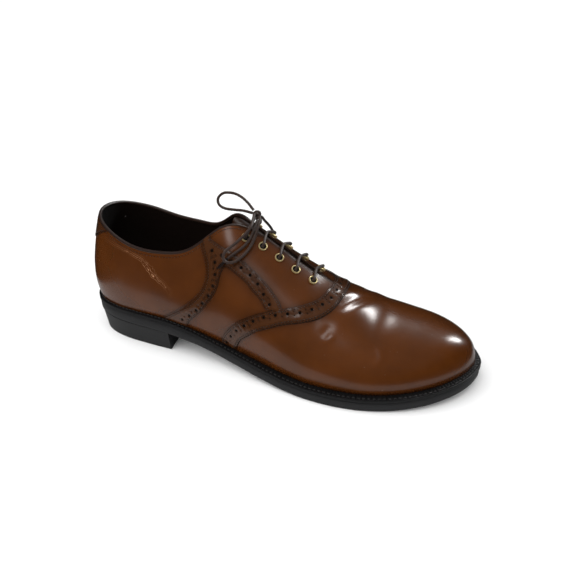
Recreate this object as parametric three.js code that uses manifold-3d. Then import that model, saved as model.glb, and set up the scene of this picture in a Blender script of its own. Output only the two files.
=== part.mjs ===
// A right-foot brogue in brown leather on a black rubber sole, about a men's size 43, empty and
// laced. Millimetres, +Z up, toe towards +X, outer (lateral) side towards -Y, floor at z = 0.
import * as THREE from "three";
import { mergeVertices } from "three/addons/utils/BufferGeometryUtils.js";
import Module from "manifold-3d";

const wasm = await Module();
wasm.setup();

// Driving dimensions of the last and the sole
const LAST_LENGTH = 295; // feather line, back of the heel to the toe
const BALL_WIDTH = 101;
const BACK_HEIGHT = 64; // feather line to the collar at the heel
const INSTEP_HEIGHT = 82; // feather line to the top of the facings
const TOE_HEIGHT = 33; // feather line to the ridge over the toe box
const HEEL_HEIGHT = 17.5;
const HEEL_LENGTH = 75; // back of the feather line to the heel's breast
const HEEL_TAPER = 2;
const HEEL_OVERHANG = 1; // top of the heel outside the feather line
const BREAST_HOLLOW = 3;
const OUTSOLE_THICKNESS = 6.6;
const SEAT_THICKENING = 1.5; // extra outsole under the heel seat
const OUTSOLE_BEVEL = 1;
const OUTSOLE_STEP = 0.5; // outsole edge inside the welt's edge
const WELT_THICKNESS = 2.9;
const WELT_WIDTH = 5.8; // widest reach outside the feather line
const WELT_LEDGE = 5; // reach inside the upper's wall, which carries the insole
const TOE_SPRING = 6.8;
const INSOLE_THICKNESS = 2.5;

// Driving dimensions of the upper and what is on it
const UPPER_WALL = 2;
const OVERLAY_THICKNESS = 1;
const BAND_WIDTH = 9;
const BAND_OVERRUN = 14; // how far a band's cutting shape passes the leather's edge
const TONGUE_THICKNESS = 1.8;
const TONGUE_STAND = 12; // length of the tongue above the facings
const EYELET_BORE = 3.6;
const EYELET_BARREL = 4.6;
const EYELET_FLANGE = 6.4;
const EYELET_RIM = 0.9; // height of the flange's crown
const EYELET_EDGE = 7.8; // eyelet centre to the facing's edge
const LACE_DIAMETER = 2;
const KNOT_SIZE = 6.4;
const CLEARANCE = 0.3; // between pieces that touch on the real shoe

const tableOf = (columns, rows) => rows.map((row) => (
  Object.fromEntries(columns.map((name, i) => [name, row[i]]))
));

// Sections of the last, each a rib from the feather line up to the crest: the collar's edge, the
// facing's edge, or the ridge of the vamp. x and crestX are shares of LAST_LENGTH, lateral, medial,
// ridge and both crest reaches are shares of BALL_WIDTH, back, instep and toe are shares of the
// heights of those names and add up to the crest's rise, and welt is a share of WELT_WIDTH. lean
// is the wall's outward slope at its foot, facing the heading of the crest's outward side, and
// crestLean the slope at the crest, in degrees. The fullnesses are shares of the rib's size.
const SECTION_COLUMNS = [
  "x", "lateral", "medial", "crestX", "ridge", "crestLateral", "crestMedial",
  "back", "instep", "toe", "lean", "fullness", "facing", "crestLean", "crestFullness", "welt",
];
const SECTIONS = tableOf(SECTION_COLUMNS, [
  [0.0, 0.0, 0.0, 0.028, 0.0, 0.0, 0.0, 1.04, 0, 0, 18, 0.33, 0, 18, 0.33, 0.36],
  [0.014, 0.15, 0.15, 0.037, 0.0, 0.11, 0.11, 1.025, 0, 0, 17, 0.33, 35, 16, 0.33, 0.36],
  [0.05, 0.262, 0.262, 0.066, 0.0, 0.21, 0.205, 0.98, 0, 0, 14, 0.33, 62, 12, 0.33, 0.38],
  [0.108, 0.322, 0.322, 0.118, 0.0, 0.285, 0.275, 0.905, 0, 0, 12, 0.33, 78, 10, 0.33, 0.4],
  [0.175, 0.342, 0.342, 0.18, 0.0, 0.315, 0.298, 0.832, 0, 0, 12, 0.33, 86, 10, 0.33, 0.45],
  [0.25, 0.35, 0.33, 0.25, 0.0, 0.305, 0.285, 0.822, 0, 0, 12, 0.33, 90, 13, 0.33, 0.52],
  [0.325, 0.352, 0.305, 0.315, 0.0, 0.25, 0.232, 0.5, 0.328, 0, 12, 0.34, 90, 22, 0.34, 0.62],
  [0.39, 0.362, 0.29, 0.366, 0.0, 0.165, 0.155, 0, 0.898, 0, 12, 0.36, 90, 38, 0.36, 0.75],
  [0.45, 0.385, 0.295, 0.412, 0.0, 0.085, 0.08, 0, 0.995, 0, 12, 0.38, 90, 52, 0.38, 0.88],
  [0.515, 0.418, 0.325, 0.475, 0.0, 0.029, 0.029, 0, 0.948, 0, 12, 0.4, 90, 62, 0.42, 0.96],
  [0.585, 0.455, 0.375, 0.555, 0.0, 0.026, 0.026, 0, 0.823, 0, 12, 0.44, 90, 70, 0.44, 1],
  [0.655, 0.48, 0.43, 0.638, 0.0, 0.018, 0.018, 0, 0.687, 0, 12, 0.46, 90, 80, 0.46, 1],
  [0.725, 0.48, 0.47, 0.71, 0.01, 0.0, 0.0, 0, 0.3, 0.68, 12, 0.48, 90, 88, 0.5, 1],
  [0.795, 0.445, 0.48, 0.785, 0.025, 0.0, 0.0, 0, 0, 1.183, 12, 0.5, 90, 90, 0.53, 1],
  [0.865, 0.37, 0.45, 0.862, 0.045, 0.0, 0.0, 0, 0, 0.989, 10, 0.52, 90, 90, 0.55, 1],
  [0.925, 0.262, 0.375, 0.925, 0.06, 0.0, 0.0, 0, 0, 0.795, 8, 0.54, 90, 90, 0.56, 0.95],
  [0.97, 0.13, 0.262, 0.97, 0.07, 0.0, 0.0, 0, 0, 0.562, 4, 0.55, 90, 90, 0.56, 0.85],
  [0.993, 0.01, 0.15, 0.993, 0.075, 0.0, 0.0, 0, 0, 0.291, 2, 0.55, 90, 90, 0.5523, 0.74],
  [1.0, -0.075, 0.075, 1.0, 0.075, 0.0, 0.0, 0, 0, 0.0, 0, 0.55, 90, 90, 0.5523, 0.7],
]);

// The places that the pieces share are counted in sections, from 0 at the back of the heel along
// the lateral side to TOE, and on along the medial side to RING, which is the heel again.
const TOE = SECTIONS.length - 1;
const RING = 2 * TOE;
const THROAT = 10.5; // the slot between the facings starts to close here
const THROAT_CLOSING = 0.5; // sections in which the slot comes to its end

// Underside of the outsole along the shoe: x as a share of LAST_LENGTH, its height as shares of
// HEEL_HEIGHT and TOE_SPRING. Heel seat and ball are level.
const UNDERSIDE_COLUMNS = ["x", "heel", "spring"];
const UNDERSIDE = tableOf(UNDERSIDE_COLUMNS, [
  [-0.04, 1, 0],
  [0.1, 1, 0],
  [0.2, 1, 0],
  [0.24, 0.985, 0],
  [0.3, 0.87, 0],
  [0.38, 0.64, 0],
  [0.46, 0.39, 0],
  [0.54, 0.17, 0],
  [0.6, 0.055, 0],
  [0.65, 0, 0],
  [0.7, 0, 0],
  [0.755, 0, 0],
  [0.82, 0, 0.1],
  [0.9, 0, 0.42],
  [0.96, 0, 0.75],
  [1.04, 0, 1.15],
]);
const SEAT_FADE = [0.24, 0.4]; // shares of LAST_LENGTH over which the seat's extra fades out

// Middle lines of the leather bands, with their width as a share of BAND_WIDTH
const BAND_COLUMNS = ["section", "height", "width"];
const QUARTER_BAND = tableOf(BAND_COLUMNS, [
  [6.72, 0.99, 0.8],
  [7.1, 0.81, 1.05],
  [7.32, 0.69, 1.1],
  [7.3, 0.575, 1.02],
  [7.08, 0.48, 1],
  [6.4, 0.35, 1],
  [5.85, 0.18, 1.15],
  [5.42, 0.03, 1.4],
]);
const FACING_BAND = tableOf(BAND_COLUMNS, [
  [6.8, 0.97, 0.7],
  [7.4, 0.835, 0.8],
  [8.0, 0.745, 0.8],
  [8.5, 0.685, 0.82],
  [8.85, 0.645, 0.84],
  [9.2, 0.605, 0.86],
  [9.5, 0.565, 0.88],
]);
const THROAT_BAND = tableOf(BAND_COLUMNS, [
  [7.7, 0.03, 1.15],
  [8.12, 0.155, 1.05],
  [8.7, 0.29, 1],
  [9.25, 0.38, 0.98],
  [9.72, 0.45, 0.96],
  [10.3, 0.54, 0.92],
  [10.82, 0.64, 0.9],
  [11.25, 0.78, 0.95],
]);
const THROAT_BAND_CREST = 11.38; // section where the band crosses the ridge
const HEEL_TAB = { front: 2.6, side: 1.2, sideHeight: 0.68, backHeight: 0.6 };
const EYELET_SECTIONS = [8.55, 9.13, 9.65, 10.15, 10.65];

// Places of the tied lace: [forward, towards medial, up], the knot's centre measured from the
// middle between the top eyelets and the routes from the knot's centre
const KNOT_PLACE = [2.6, 3.6, 12.2];
const REAR_LOOP = [
  [-3.2, 1.5, 1.9], [-8.1, 3.2, 5.9], [-13.7, 4.9, 8.9], [-20, 6.2, 10.3], [-26.5, 6.9, 9.7],
  [-28.9, 6.9, 8.9], [-31, 6.7, 7.5], [-32.5, 6.2, 5.6], [-32.9, 5.4, 3.3], [-31.9, 4.6, 1.2],
  [-29.9, 3.8, -0.1], [-27.6, 3.3, -0.7], [-25.1, 2.9, -0.9], [-18, 2.2, -0.4],
  [-11, 1.6, 0.2], [-3.9, 1.6, -0.6],
];
const LATERAL_LOOP = [
  [-0.4, -3.8, 1.2], [0.9, -9.2, -0.4], [2.1, -14.4, -2.3], [0.5, -18.9, -5.5],
  [-2.2, -22.9, -8.7], [-5.3, -26.7, -11.7], [-8.7, -30.4, -14.4], [-9.9, -31.9, -15.6],
  [-10.6, -33.4, -17.1], [-10.7, -34.5, -19], [-9.7, -35.1, -21], [-8, -34.7, -22.3],
  [-6.1, -33.7, -22.8], [-4.3, -32.3, -22.7], [-2.7, -30.8, -22.2], [0.1, -26.7, -20.1],
  [2.1, -22.4, -17.6], [3.3, -18.2, -14.5], [4.1, -14.4, -10.8], [4.6, -11.1, -6.6],
  [4.5, -7.1, -3.1], [3.4, -2.6, -0.4],
];
const LATERAL_END = [
  [1.3, -2.6, -3.2], [1.5, -7.1, -5.7], [1.7, -11.6, -8.4], [1.4, -15.9, -11.1],
  [0.1, -20.1, -13.9], [-2.4, -23.8, -16.4], [-5.5, -27.3, -18.6], [-8.7, -30.5, -21.2],
  [-11.9, -33, -24.5], [-15, -35.1, -28],
];
const MEDIAL_END = [
  [2.2, 2.9, -2.4], [3.7, 4.5, -6.2], [4.7, 7.2, -9.5], [5.2, 10.1, -12.8], [5.4, 12.9, -16.1],
  [5.3, 15.7, -19.6], [4.9, 18.3, -23.1], [4, 21.3, -26.2], [3.1, 23.7, -30],
  [2.5, 25.6, -33.9], [2, 27.3, -38.1],
];
const STRAND_END = { back: 0.5, down: 1.6 }; // where the top strands meet the knot, from its centre
const TOP_STRAND_RISE = 4;
const TOP_STRAND_BEND = 0.55; // share of the way to the knot

// Fineness of the faceted shapes
const STEPS_PER_SECTION = 2;
const RIB_ROWS = 12;
const COLUMNS = RING * STEPS_PER_SECTION;
const TOE_COLUMN = TOE * STEPS_PER_SECTION;
const FITTING_SWEEPS = 60;
const SLOPE_STEP = 0.01; // sections, and shares of a rib, between points that give a slope
const TOE_BLEND = 0.1; // sections either side of the toe's tip that share its normal
const ROUND_SIDES = 8;
const LACE_SIDES = 8;
const LACE_STEP = 5.6;

const degrees = THREE.MathUtils.degToRad;
const smooth = THREE.MathUtils.smoothstep;

// Control values of a closed uniform cubic B-spline that passes through every given row.
function splineThrough(rows) {
  const controls = rows.map((row) => [...row]);
  for (let sweep = 0; sweep < FITTING_SWEEPS; sweep++) {
    rows.forEach((row, i) => {
      const before = controls.at(i - 1);
      const after = controls[(i + 1) % rows.length];
      controls[i] = row.map((value, k) => (6 * value - before[k] - after[k]) / 4);
    });
  }
  return controls;
}

function splineAt(controls, place) {
  const first = Math.floor(place);
  const f = place - first;
  const weights = [
    (1 - f) ** 3,
    3 * f ** 3 - 6 * f ** 2 + 4,
    -3 * f ** 3 + 3 * f ** 2 + 3 * f + 1,
    f ** 3,
  ];
  const rows = weights.map((_, i) => controls.at((first - 1 + i) % controls.length));
  return controls[0].map((_, k) => weights.reduce((sum, w, i) => sum + (w * rows[i][k]) / 6, 0));
}

// Smooth curve through the underside's rows that never rises between two level ones.
function undersideHeight(x) {
  const xs = UNDERSIDE.map((row) => row.x * LAST_LENGTH);
  const zs = UNDERSIDE.map((row) => row.heel * HEEL_HEIGHT + row.spring * TOE_SPRING);
  const rise = (i) => (zs[i + 1] - zs[i]) / (xs[i + 1] - xs[i]);
  const slope = (i) => {
    if (i === 0) return rise(0);
    if (i === xs.length - 1) return rise(i - 1);
    if (rise(i - 1) * rise(i) <= 0) return 0;
    const before = xs[i] - xs[i - 1];
    const after = xs[i + 1] - xs[i];
    const total = 3 * (before + after);
    return total / ((2 * after + before) / rise(i - 1) + (after + 2 * before) / rise(i));
  };
  const place = THREE.MathUtils.clamp(x, xs[0], xs.at(-1));
  const i = Math.max(0, Math.min(xs.length - 2, xs.findIndex((end) => end >= place) - 1));
  const span = xs[i + 1] - xs[i];
  const t = (place - xs[i]) / span;
  return (
    (2 * t ** 3 - 3 * t ** 2 + 1) * zs[i] + (t ** 3 - 2 * t ** 2 + t) * span * slope(i) +
    (3 * t ** 2 - 2 * t ** 3) * zs[i + 1] + (t ** 3 - t ** 2) * span * slope(i + 1)
  );
}

function outsoleTop(x) {
  const [from, to] = SEAT_FADE.map((share) => share * LAST_LENGTH);
  return undersideHeight(x) + OUTSOLE_THICKNESS + SEAT_THICKENING * (1 - smooth(x, from, to));
}

const weltTop = (x) => outsoleTop(x) + CLEARANCE + WELT_THICKNESS;
const featherHeight = (x) => weltTop(x) + CLEARANCE;

// One row of numbers for each place round the ring, in the order of stationAt's names.
function stationRow(k) {
  const side = k <= TOE ? -1 : 1;
  const row = SECTIONS[k <= TOE ? k : RING - k];
  const reach = side < 0 ? row.lateral : row.medial;
  const crestReach = side < 0 ? row.crestLateral : row.crestMedial;
  return [
    row.x * LAST_LENGTH,
    side * reach * BALL_WIDTH,
    row.crestX * LAST_LENGTH,
    (row.ridge + side * crestReach) * BALL_WIDTH,
    row.back * BACK_HEIGHT + row.instep * INSTEP_HEIGHT + row.toe * TOE_HEIGHT,
    degrees(row.lean),
    row.fullness,
    degrees(row.facing),
    degrees(row.crestLean),
    row.crestFullness,
    row.welt * WELT_WIDTH,
  ];
}
const RING_CONTROLS = splineThrough(Array.from({ length: RING }, (_, k) => stationRow(k)));

const aroundRing = (section) => ((section % RING) + RING) % RING;
const isMedial = (section) => aroundRing(section) > TOE;
const mirrored = (section) => RING - aroundRing(section);
const sectionsFromToe = (section) => Math.abs(aroundRing(section) - TOE);
const isVamp = (section) => sectionsFromToe(section) < TOE - THROAT;

function stationAt(section) {
  const values = splineAt(RING_CONTROLS, aroundRing(section));
  const names = [
    "x", "y", "crestX", "crestY", "rise", "lean", "fullness", "facing", "crestLean",
    "crestFullness", "welt",
  ];
  const station = Object.fromEntries(names.map((name, i) => [name, values[i]]));
  if (isVamp(section)) {
    const across = splineAt(RING_CONTROLS, mirrored(section))[3];
    const middle = (station.crestY + across) / 2;
    const fromThroat = TOE - THROAT - sectionsFromToe(section);
    const open = 1 - smooth(fromThroat, 0, THROAT_CLOSING);
    station.crestY = middle + (station.crestY - middle) * open;
  }
  return station;
}

// Outward direction of the feather line in plan.
function featherOutward(section) {
  const ahead = stationAt(section + SLOPE_STEP);
  const behind = stationAt(section - SLOPE_STEP);
  return new THREE.Vector3(ahead.y - behind.y, behind.x - ahead.x, 0).normalize();
}

// The outer face of the leather: section round the shoe, height 0 at the feather line to 1.
function ribPoint(section, height) {
  const s = stationAt(section);
  const up = new THREE.Vector3(0, 0, 1);
  const foot = new THREE.Vector3(s.x, s.y, featherHeight(s.x));
  const crest = new THREE.Vector3(s.crestX, s.crestY, featherHeight(s.crestX) + s.rise);
  const side = isMedial(section) ? 1 : -1;
  const outward = new THREE.Vector3(-Math.cos(s.facing), side * Math.sin(s.facing), 0);
  const rise = crest.z - foot.z;
  const reach = Math.abs(foot.clone().sub(crest).dot(outward));
  const footPull = up.clone().multiplyScalar(Math.cos(s.lean))
    .addScaledVector(featherOutward(section), Math.sin(s.lean))
    .multiplyScalar(s.fullness * rise);
  const crestPull = outward.multiplyScalar(Math.sin(s.crestLean))
    .addScaledVector(up, -Math.cos(s.crestLean))
    .multiplyScalar(
      s.crestFullness * (rise * Math.cos(s.crestLean) + reach * Math.sin(s.crestLean)),
    );
  return new THREE.CubicBezierCurve3(foot, footPull.add(foot), crestPull.add(crest), crest)
    .getPoint(height);
}

function sideNormal(section, height) {
  const along = ribPoint(section + SLOPE_STEP, height)
    .sub(ribPoint(section - SLOPE_STEP, height));
  const top = Math.min(1, height + SLOPE_STEP);
  const bottom = Math.max(0, height - SLOPE_STEP);
  const upward = ribPoint(section, top).sub(ribPoint(section, bottom));
  return along.cross(upward).normalize();
}

// Outward normal; both sides share one along the ridge, and the toe's tip has the mean of its
// neighbours.
function leatherNormal(section, height) {
  if (sectionsFromToe(section) === 0) {
    return sideNormal(section - TOE_BLEND, 0.5)
      .add(sideNormal(section + TOE_BLEND, 0.5))
      .normalize();
  }
  const normal = sideNormal(section, height);
  if (height === 1 && isVamp(section)) {
    normal.add(sideNormal(mirrored(section), height)).normalize();
  }
  return normal;
}

// A point off the leather's outer face, kept on the welt's level along the feather line.
function leatherPoint(section, height, offset) {
  const point = ribPoint(section, height);
  if (offset !== 0) point.addScaledVector(leatherNormal(section, height), offset);
  if (height === 0) point.z = featherHeight(point.x);
  return point;
}

// Collects corners and faces of one closed body.
class Body {
  constructor() {
    this.corners = [];
    this.faces = [];
  }

  corner(point) {
    this.corners.push(point);
    return this.corners.length - 1;
  }

  // Triangles that lost a corner to a shared one are left out.
  triangle(a, b, c) {
    if (a !== b && b !== c && c !== a) this.faces.push(a, b, c);
  }

  quad(a, b, c, d) {
    this.triangle(a, b, c);
    this.triangle(a, c, d);
  }

  geometry() {
    return new THREE.BufferGeometry().setFromPoints(this.corners).setIndex(this.faces);
  }
}

function asSolid(geometry) {
  const bare = geometry.clone();
  bare.deleteAttribute("normal");
  bare.deleteAttribute("uv");
  const merged = mergeVertices(bare);
  return new wasm.Manifold(new wasm.Mesh({
    numProp: 3,
    vertProperties: Float32Array.from(merged.attributes.position.array),
    triVerts: Uint32Array.from(merged.index.array),
  }));
}

function asGeometry(solid) {
  const mesh = solid.getMesh();
  return new THREE.BufferGeometry()
    .setAttribute("position", new THREE.BufferAttribute(mesh.vertProperties, mesh.numProp))
    .setIndex(new THREE.BufferAttribute(mesh.triVerts, 1));
}

// A skin all round the last between two offsets from the leather's outer face, open at the
// collar, between the facings and underneath.
function shell(outerOffset, innerOffset) {
  const body = new Body();
  const skin = (offset) => {
    const grid = [];
    for (let j = 0; j < COLUMNS; j++) {
      const section = j / STEPS_PER_SECTION;
      grid.push([]);
      for (let i = 0; i <= RIB_ROWS; i++) {
        const tip = j === TOE_COLUMN && i > 0;
        const ridge = j > TOE_COLUMN && i === RIB_ROWS && isVamp(section);
        if (tip) grid[j].push(grid[j][0]);
        else if (ridge) grid[j].push(grid[COLUMNS - j][i]);
        else grid[j].push(body.corner(leatherPoint(section, i / RIB_ROWS, offset)));
      }
    }
    return grid;
  };
  const outer = skin(outerOffset);
  const inner = skin(innerOffset);
  for (let j = 0; j < COLUMNS; j++) {
    const next = (j + 1) % COLUMNS;
    for (let i = 0; i < RIB_ROWS; i++) {
      body.quad(outer[j][i], outer[next][i], outer[next][i + 1], outer[j][i + 1]);
      body.quad(inner[next][i], inner[j][i], inner[j][i + 1], inner[next][i + 1]);
    }
    body.quad(outer[next][0], outer[j][0], inner[j][0], inner[next][0]);
    const joined = isVamp(j / STEPS_PER_SECTION) && isVamp(next / STEPS_PER_SECTION);
    if (!joined) {
      const top = RIB_ROWS;
      body.quad(outer[j][top], outer[next][top], inner[next][top], inner[j][top]);
    }
  }
  return body.geometry();
}

// A point of the sole's outline: the feather line grown outwards, at the height for its x.
function outlinePoint(section, growth, heightAt) {
  const s = stationAt(section);
  const point = new THREE.Vector3(s.x, s.y, 0).addScaledVector(featherOutward(section), growth);
  point.z = heightAt(point.x);
  return point;
}

// Closed outlines stacked from the floor up; level = { growth: section => mm, height: x => mm }.
function outlineLoops(body, levels) {
  return levels.map((level) => Array.from({ length: COLUMNS }, (_, j) => {
    const section = j / STEPS_PER_SECTION;
    return body.corner(outlinePoint(section, level.growth(section), level.height));
  }));
}

function joinLoops(body, lower, upper) {
  lower.forEach((corner, j) => {
    const next = (j + 1) % lower.length;
    body.quad(corner, lower[next], upper[next], upper[j]);
  });
}

// A solid plate: walls through all levels, and faces that run straight across the shoe.
function plate(levels) {
  const body = new Body();
  const loops = outlineLoops(body, levels);
  for (let l = 1; l < loops.length; l++) joinLoops(body, loops[l - 1], loops[l]);
  const bottom = loops[0];
  const top = loops.at(-1);
  for (let j = 0; j < TOE_COLUMN; j++) {
    const across = (COLUMNS - j) % COLUMNS;
    body.quad(top[j], top[j + 1], top[COLUMNS - j - 1], top[across]);
    body.quad(bottom[across], bottom[COLUMNS - j - 1], bottom[j + 1], bottom[j]);
  }
  return body.geometry();
}

// A strip that runs once round the shoe: its cross-section's levels in order, outside first.
function strip(levels) {
  const body = new Body();
  const loops = outlineLoops(body, levels);
  loops.forEach((loop, l) => joinLoops(body, loop, loops[(l + 1) % loops.length]));
  return body.geometry();
}

const weltEdge = (section) => stationAt(section).welt;
const insideFeather = (inset) => () => -inset;

function outsole() {
  const edge = (inset) => (section) => weltEdge(section) - OUTSOLE_STEP - inset;
  const bevelTop = (x) => undersideHeight(x) + OUTSOLE_BEVEL;
  return plate([
    { growth: edge(OUTSOLE_BEVEL), height: undersideHeight },
    { growth: edge(0), height: bevelTop },
    { growth: edge(0), height: outsoleTop },
  ]);
}

function welt() {
  const inner = insideFeather(UPPER_WALL + WELT_LEDGE);
  const bottom = (x) => outsoleTop(x) + CLEARANCE;
  return strip([
    { growth: weltEdge, height: bottom },
    { growth: weltEdge, height: weltTop },
    { growth: inner, height: weltTop },
    { growth: inner, height: bottom },
  ]);
}

function insole() {
  const inset = insideFeather(UPPER_WALL + 2 * CLEARANCE);
  return plate([
    { growth: inset, height: featherHeight },
    { growth: inset, height: (x) => featherHeight(x) + INSOLE_THICKNESS },
  ]);
}

// Section on the lateral side whose feather point lies at x.
function sectionAtX(x) {
  let low = 0;
  let high = TOE;
  while (high - low > SLOPE_STEP / 10) {
    const middle = (low + high) / 2;
    if (stationAt(middle).x < x) low = middle;
    else high = middle;
  }
  return low;
}

// The heel block: the back of the outline closed by a slightly hollow breast.
function heel() {
  const body = new Body();
  const breast = sectionAtX(HEEL_LENGTH);
  const backSteps = 20;
  const breastSteps = 6;
  const loop = (growth, heightAt) => {
    const points = [];
    for (let i = 0; i <= backSteps; i++) {
      const section = breast * ((2 * i) / backSteps - 1);
      points.push(outlinePoint(section, growth, heightAt));
    }
    const start = points.at(-1);
    const end = points[0];
    for (let i = 1; i < breastSteps; i++) {
      const share = i / breastSteps;
      const point = start.clone().lerp(end, share);
      point.x -= BREAST_HOLLOW * 4 * share * (1 - share);
      point.z = heightAt(point.x);
      points.push(point);
    }
    return points;
  };
  const top = loop(HEEL_OVERHANG, (x) => undersideHeight(x) - CLEARANCE);
  const bottom = loop(HEEL_OVERHANG - HEEL_TAPER, () => 0);
  const lower = bottom.map((point) => body.corner(point));
  const upper = top.map((point) => body.corner(point));
  joinLoops(body, lower, upper);
  const plan = (points) => points.map((point) => new THREE.Vector2(point.x, point.y));
  THREE.ShapeUtils.triangulateShape(plan(top), []).forEach(([a, b, c]) => {
    body.triangle(upper[a], upper[b], upper[c]);
  });
  THREE.ShapeUtils.triangulateShape(plan(bottom), []).forEach(([a, b, c]) => {
    body.triangle(lower[a], lower[c], lower[b]);
  });
  return body.geometry();
}

// Where an eyelet sits: its place on the leather and the direction out of it.
function eyeletSeat(section) {
  const edge = ribPoint(section, 1);
  let height = 1;
  while (ribPoint(section, height).distanceTo(edge) < EYELET_EDGE) height -= SLOPE_STEP / 4;
  return { point: ribPoint(section, height), outward: leatherNormal(section, height) };
}

function alongOutward(seat) {
  const turn = new THREE.Quaternion()
    .setFromUnitVectors(new THREE.Vector3(0, 1, 0), seat.outward);
  return new THREE.Matrix4().compose(seat.point, turn, new THREE.Vector3(1, 1, 1));
}

const EYELET_SEATS = EYELET_SECTIONS.map((section) => ({
  lateral: eyeletSeat(section),
  medial: eyeletSeat(mirrored(section)),
}));

function upper() {
  const radius = EYELET_BARREL / 2 + CLEARANCE;
  const depth = 4 * UPPER_WALL;
  let leather = asSolid(shell(0, -UPPER_WALL));
  for (const seats of EYELET_SEATS) {
    for (const seat of [seats.lateral, seats.medial]) {
      const hole = new THREE.CylinderGeometry(radius, radius, depth, ROUND_SIDES);
      leather = leather.subtract(asSolid(hole.applyMatrix4(alongOutward(seat))));
    }
  }
  return asGeometry(leather);
}

// Turned ring with a barrel through the leather and a crowned flange on it.
function eyelet() {
  const bore = EYELET_BORE / 2;
  const barrel = EYELET_BARREL / 2;
  const flange = EYELET_FLANGE / 2;
  const crown = (bore + flange) / 2;
  const seat = 1.5 * CLEARANCE;
  const top = seat + EYELET_RIM;
  const profile = [
    [bore, -UPPER_WALL],
    [barrel, -UPPER_WALL],
    [barrel, seat],
    [flange, seat],
    [flange, seat + EYELET_RIM / 3],
    [crown, top],
    [bore, seat + EYELET_RIM / 2],
    [bore, -UPPER_WALL],
  ].map(([radius, height]) => new THREE.Vector2(radius, height));
  return new THREE.LatheGeometry(profile, ROUND_SIDES);
}

// A strip of leather under the slot: the upper's inner face followed by a clearance, with its
// free end standing above the facings.
function tongue() {
  const firstSection = 8.5;
  const lastSection = 12.5;
  const rowStep = 1 / STEPS_PER_SECTION;
  const sideRows = [RIB_ROWS - 3, RIB_ROWS - 2, RIB_ROWS - 1];
  const across = (section, offset) => {
    const side = (place) => sideRows
      .map((row) => leatherPoint(place, row / RIB_ROWS, offset));
    const ridge = leatherPoint(section, 1, offset)
      .lerp(leatherPoint(mirrored(section), 1, offset), 0.5);
    return [...side(section), ridge, ...side(mirrored(section)).reverse()];
  };
  const grid = (offset) => {
    const rows = [];
    for (let place = lastSection; place >= firstSection; place -= rowStep) {
      rows.push(across(place, offset));
    }
    const middle = sideRows.length;
    const heading = rows.at(-1)[middle].clone().sub(rows.at(-3)[middle]).normalize();
    const root = rows.at(-1);
    const narrowing = [0.86, 0.74, 0.5];
    narrowing.forEach((share, i) => {
      const distance = (TONGUE_STAND * (i + 1)) / narrowing.length;
      rows.push(root.map((point) => {
        const moved = point.clone().addScaledVector(heading, distance);
        moved.y *= share;
        return moved;
      }));
    });
    return rows;
  };
  const body = new Body();
  const corners = (offset) => grid(offset).map((row) => row.map((point) => body.corner(point)));
  const face = -UPPER_WALL - CLEARANCE;
  const over = corners(face);
  const under = corners(face - TONGUE_THICKNESS);
  const lastRow = over.length - 1;
  const lastColumn = over[0].length - 1;
  for (let r = 0; r < lastRow; r++) {
    for (let c = 0; c < lastColumn; c++) {
      body.quad(over[r][c], over[r][c + 1], over[r + 1][c + 1], over[r + 1][c]);
      body.quad(under[r][c + 1], under[r][c], under[r + 1][c], under[r + 1][c + 1]);
    }
    body.quad(over[r + 1][0], under[r + 1][0], under[r][0], over[r][0]);
    body.quad(over[r][lastColumn], under[r][lastColumn], under[r + 1][lastColumn],
      over[r + 1][lastColumn]);
  }
  for (let c = 0; c < lastColumn; c++) {
    body.quad(over[0][c + 1], over[0][c], under[0][c], under[0][c + 1]);
    body.quad(over[lastRow][c], over[lastRow][c + 1], under[lastRow][c + 1], under[lastRow][c]);
  }
  return body.geometry();
}

const sideView = (point) => new THREE.Vector2(point.x, point.z);

// Side-view outline of a band, from its middle line, run on past both ends. The last end may be
// given as points of its own.
function bandOutline(band, ownEnd = []) {
  const middle = band.map((row) => sideView(ribPoint(row.section, row.height)));
  const runOn = (end, before) => end.clone().sub(before).setLength(BAND_OVERRUN).add(end);
  middle.unshift(runOn(middle[0], middle[1]));
  middle.push(...(ownEnd.length ? ownEnd : [runOn(middle.at(-1), middle.at(-2))]));
  const widths = middle.map((_, i) => band[Math.min(Math.max(i - 1, 0), band.length - 1)].width);
  const curve = new THREE.SplineCurve(middle);
  const steps = 2 * (middle.length - 1);
  const edges = [[], []];
  for (let i = 0; i <= steps; i++) {
    const share = i / steps;
    const before = Math.min(widths.length - 2, Math.floor(share * (widths.length - 1)));
    const part = share * (widths.length - 1) - before;
    const width = BAND_WIDTH * THREE.MathUtils.lerp(widths[before], widths[before + 1], part);
    const point = curve.getPoint(share);
    const heading = curve.getTangent(share);
    const offset = new THREE.Vector2(-heading.y, heading.x).multiplyScalar(width / 2);
    edges[0].push(point.clone().add(offset));
    edges[1].push(point.clone().sub(offset));
  }
  return [...edges[0], ...edges[1].reverse()];
}

// A side-view outline run across the shoe, from y = from to y = to.
function acrossShoe(outline, from, to) {
  const block = new THREE.ExtrudeGeometry(new THREE.Shape(outline), {
    depth: to - from,
    steps: 1,
    bevelEnabled: false,
  });
  return asSolid(block.rotateX(Math.PI / 2).translate(0, to, 0));
}

const OVERLAY_LIFT = 1.3 * CLEARANCE; // the skins part a little more where the leather bends in
const OVERLAY_SKIN = asSolid(shell(OVERLAY_LIFT + OVERLAY_THICKNESS, OVERLAY_LIFT));
const SIDES = { lateral: [-BALL_WIDTH, 0], medial: [0, BALL_WIDTH] };

function throatBandBlock(extra) {
  const wider = THROAT_BAND.map((row) => ({ ...row, width: row.width + extra / BAND_WIDTH }));
  const crossing = sideView(ribPoint(THROAT_BAND_CREST, 1));
  const above = crossing.clone().setY(crossing.y + BAND_OVERRUN);
  return acrossShoe(bandOutline(wider, [crossing, above]), -BALL_WIDTH, BALL_WIDTH);
}

// The band over the vamp from welt to welt, across the ridge below the facings.
function throatBand() {
  return asGeometry(OVERLAY_SKIN.intersect(throatBandBlock(0)));
}

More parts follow.
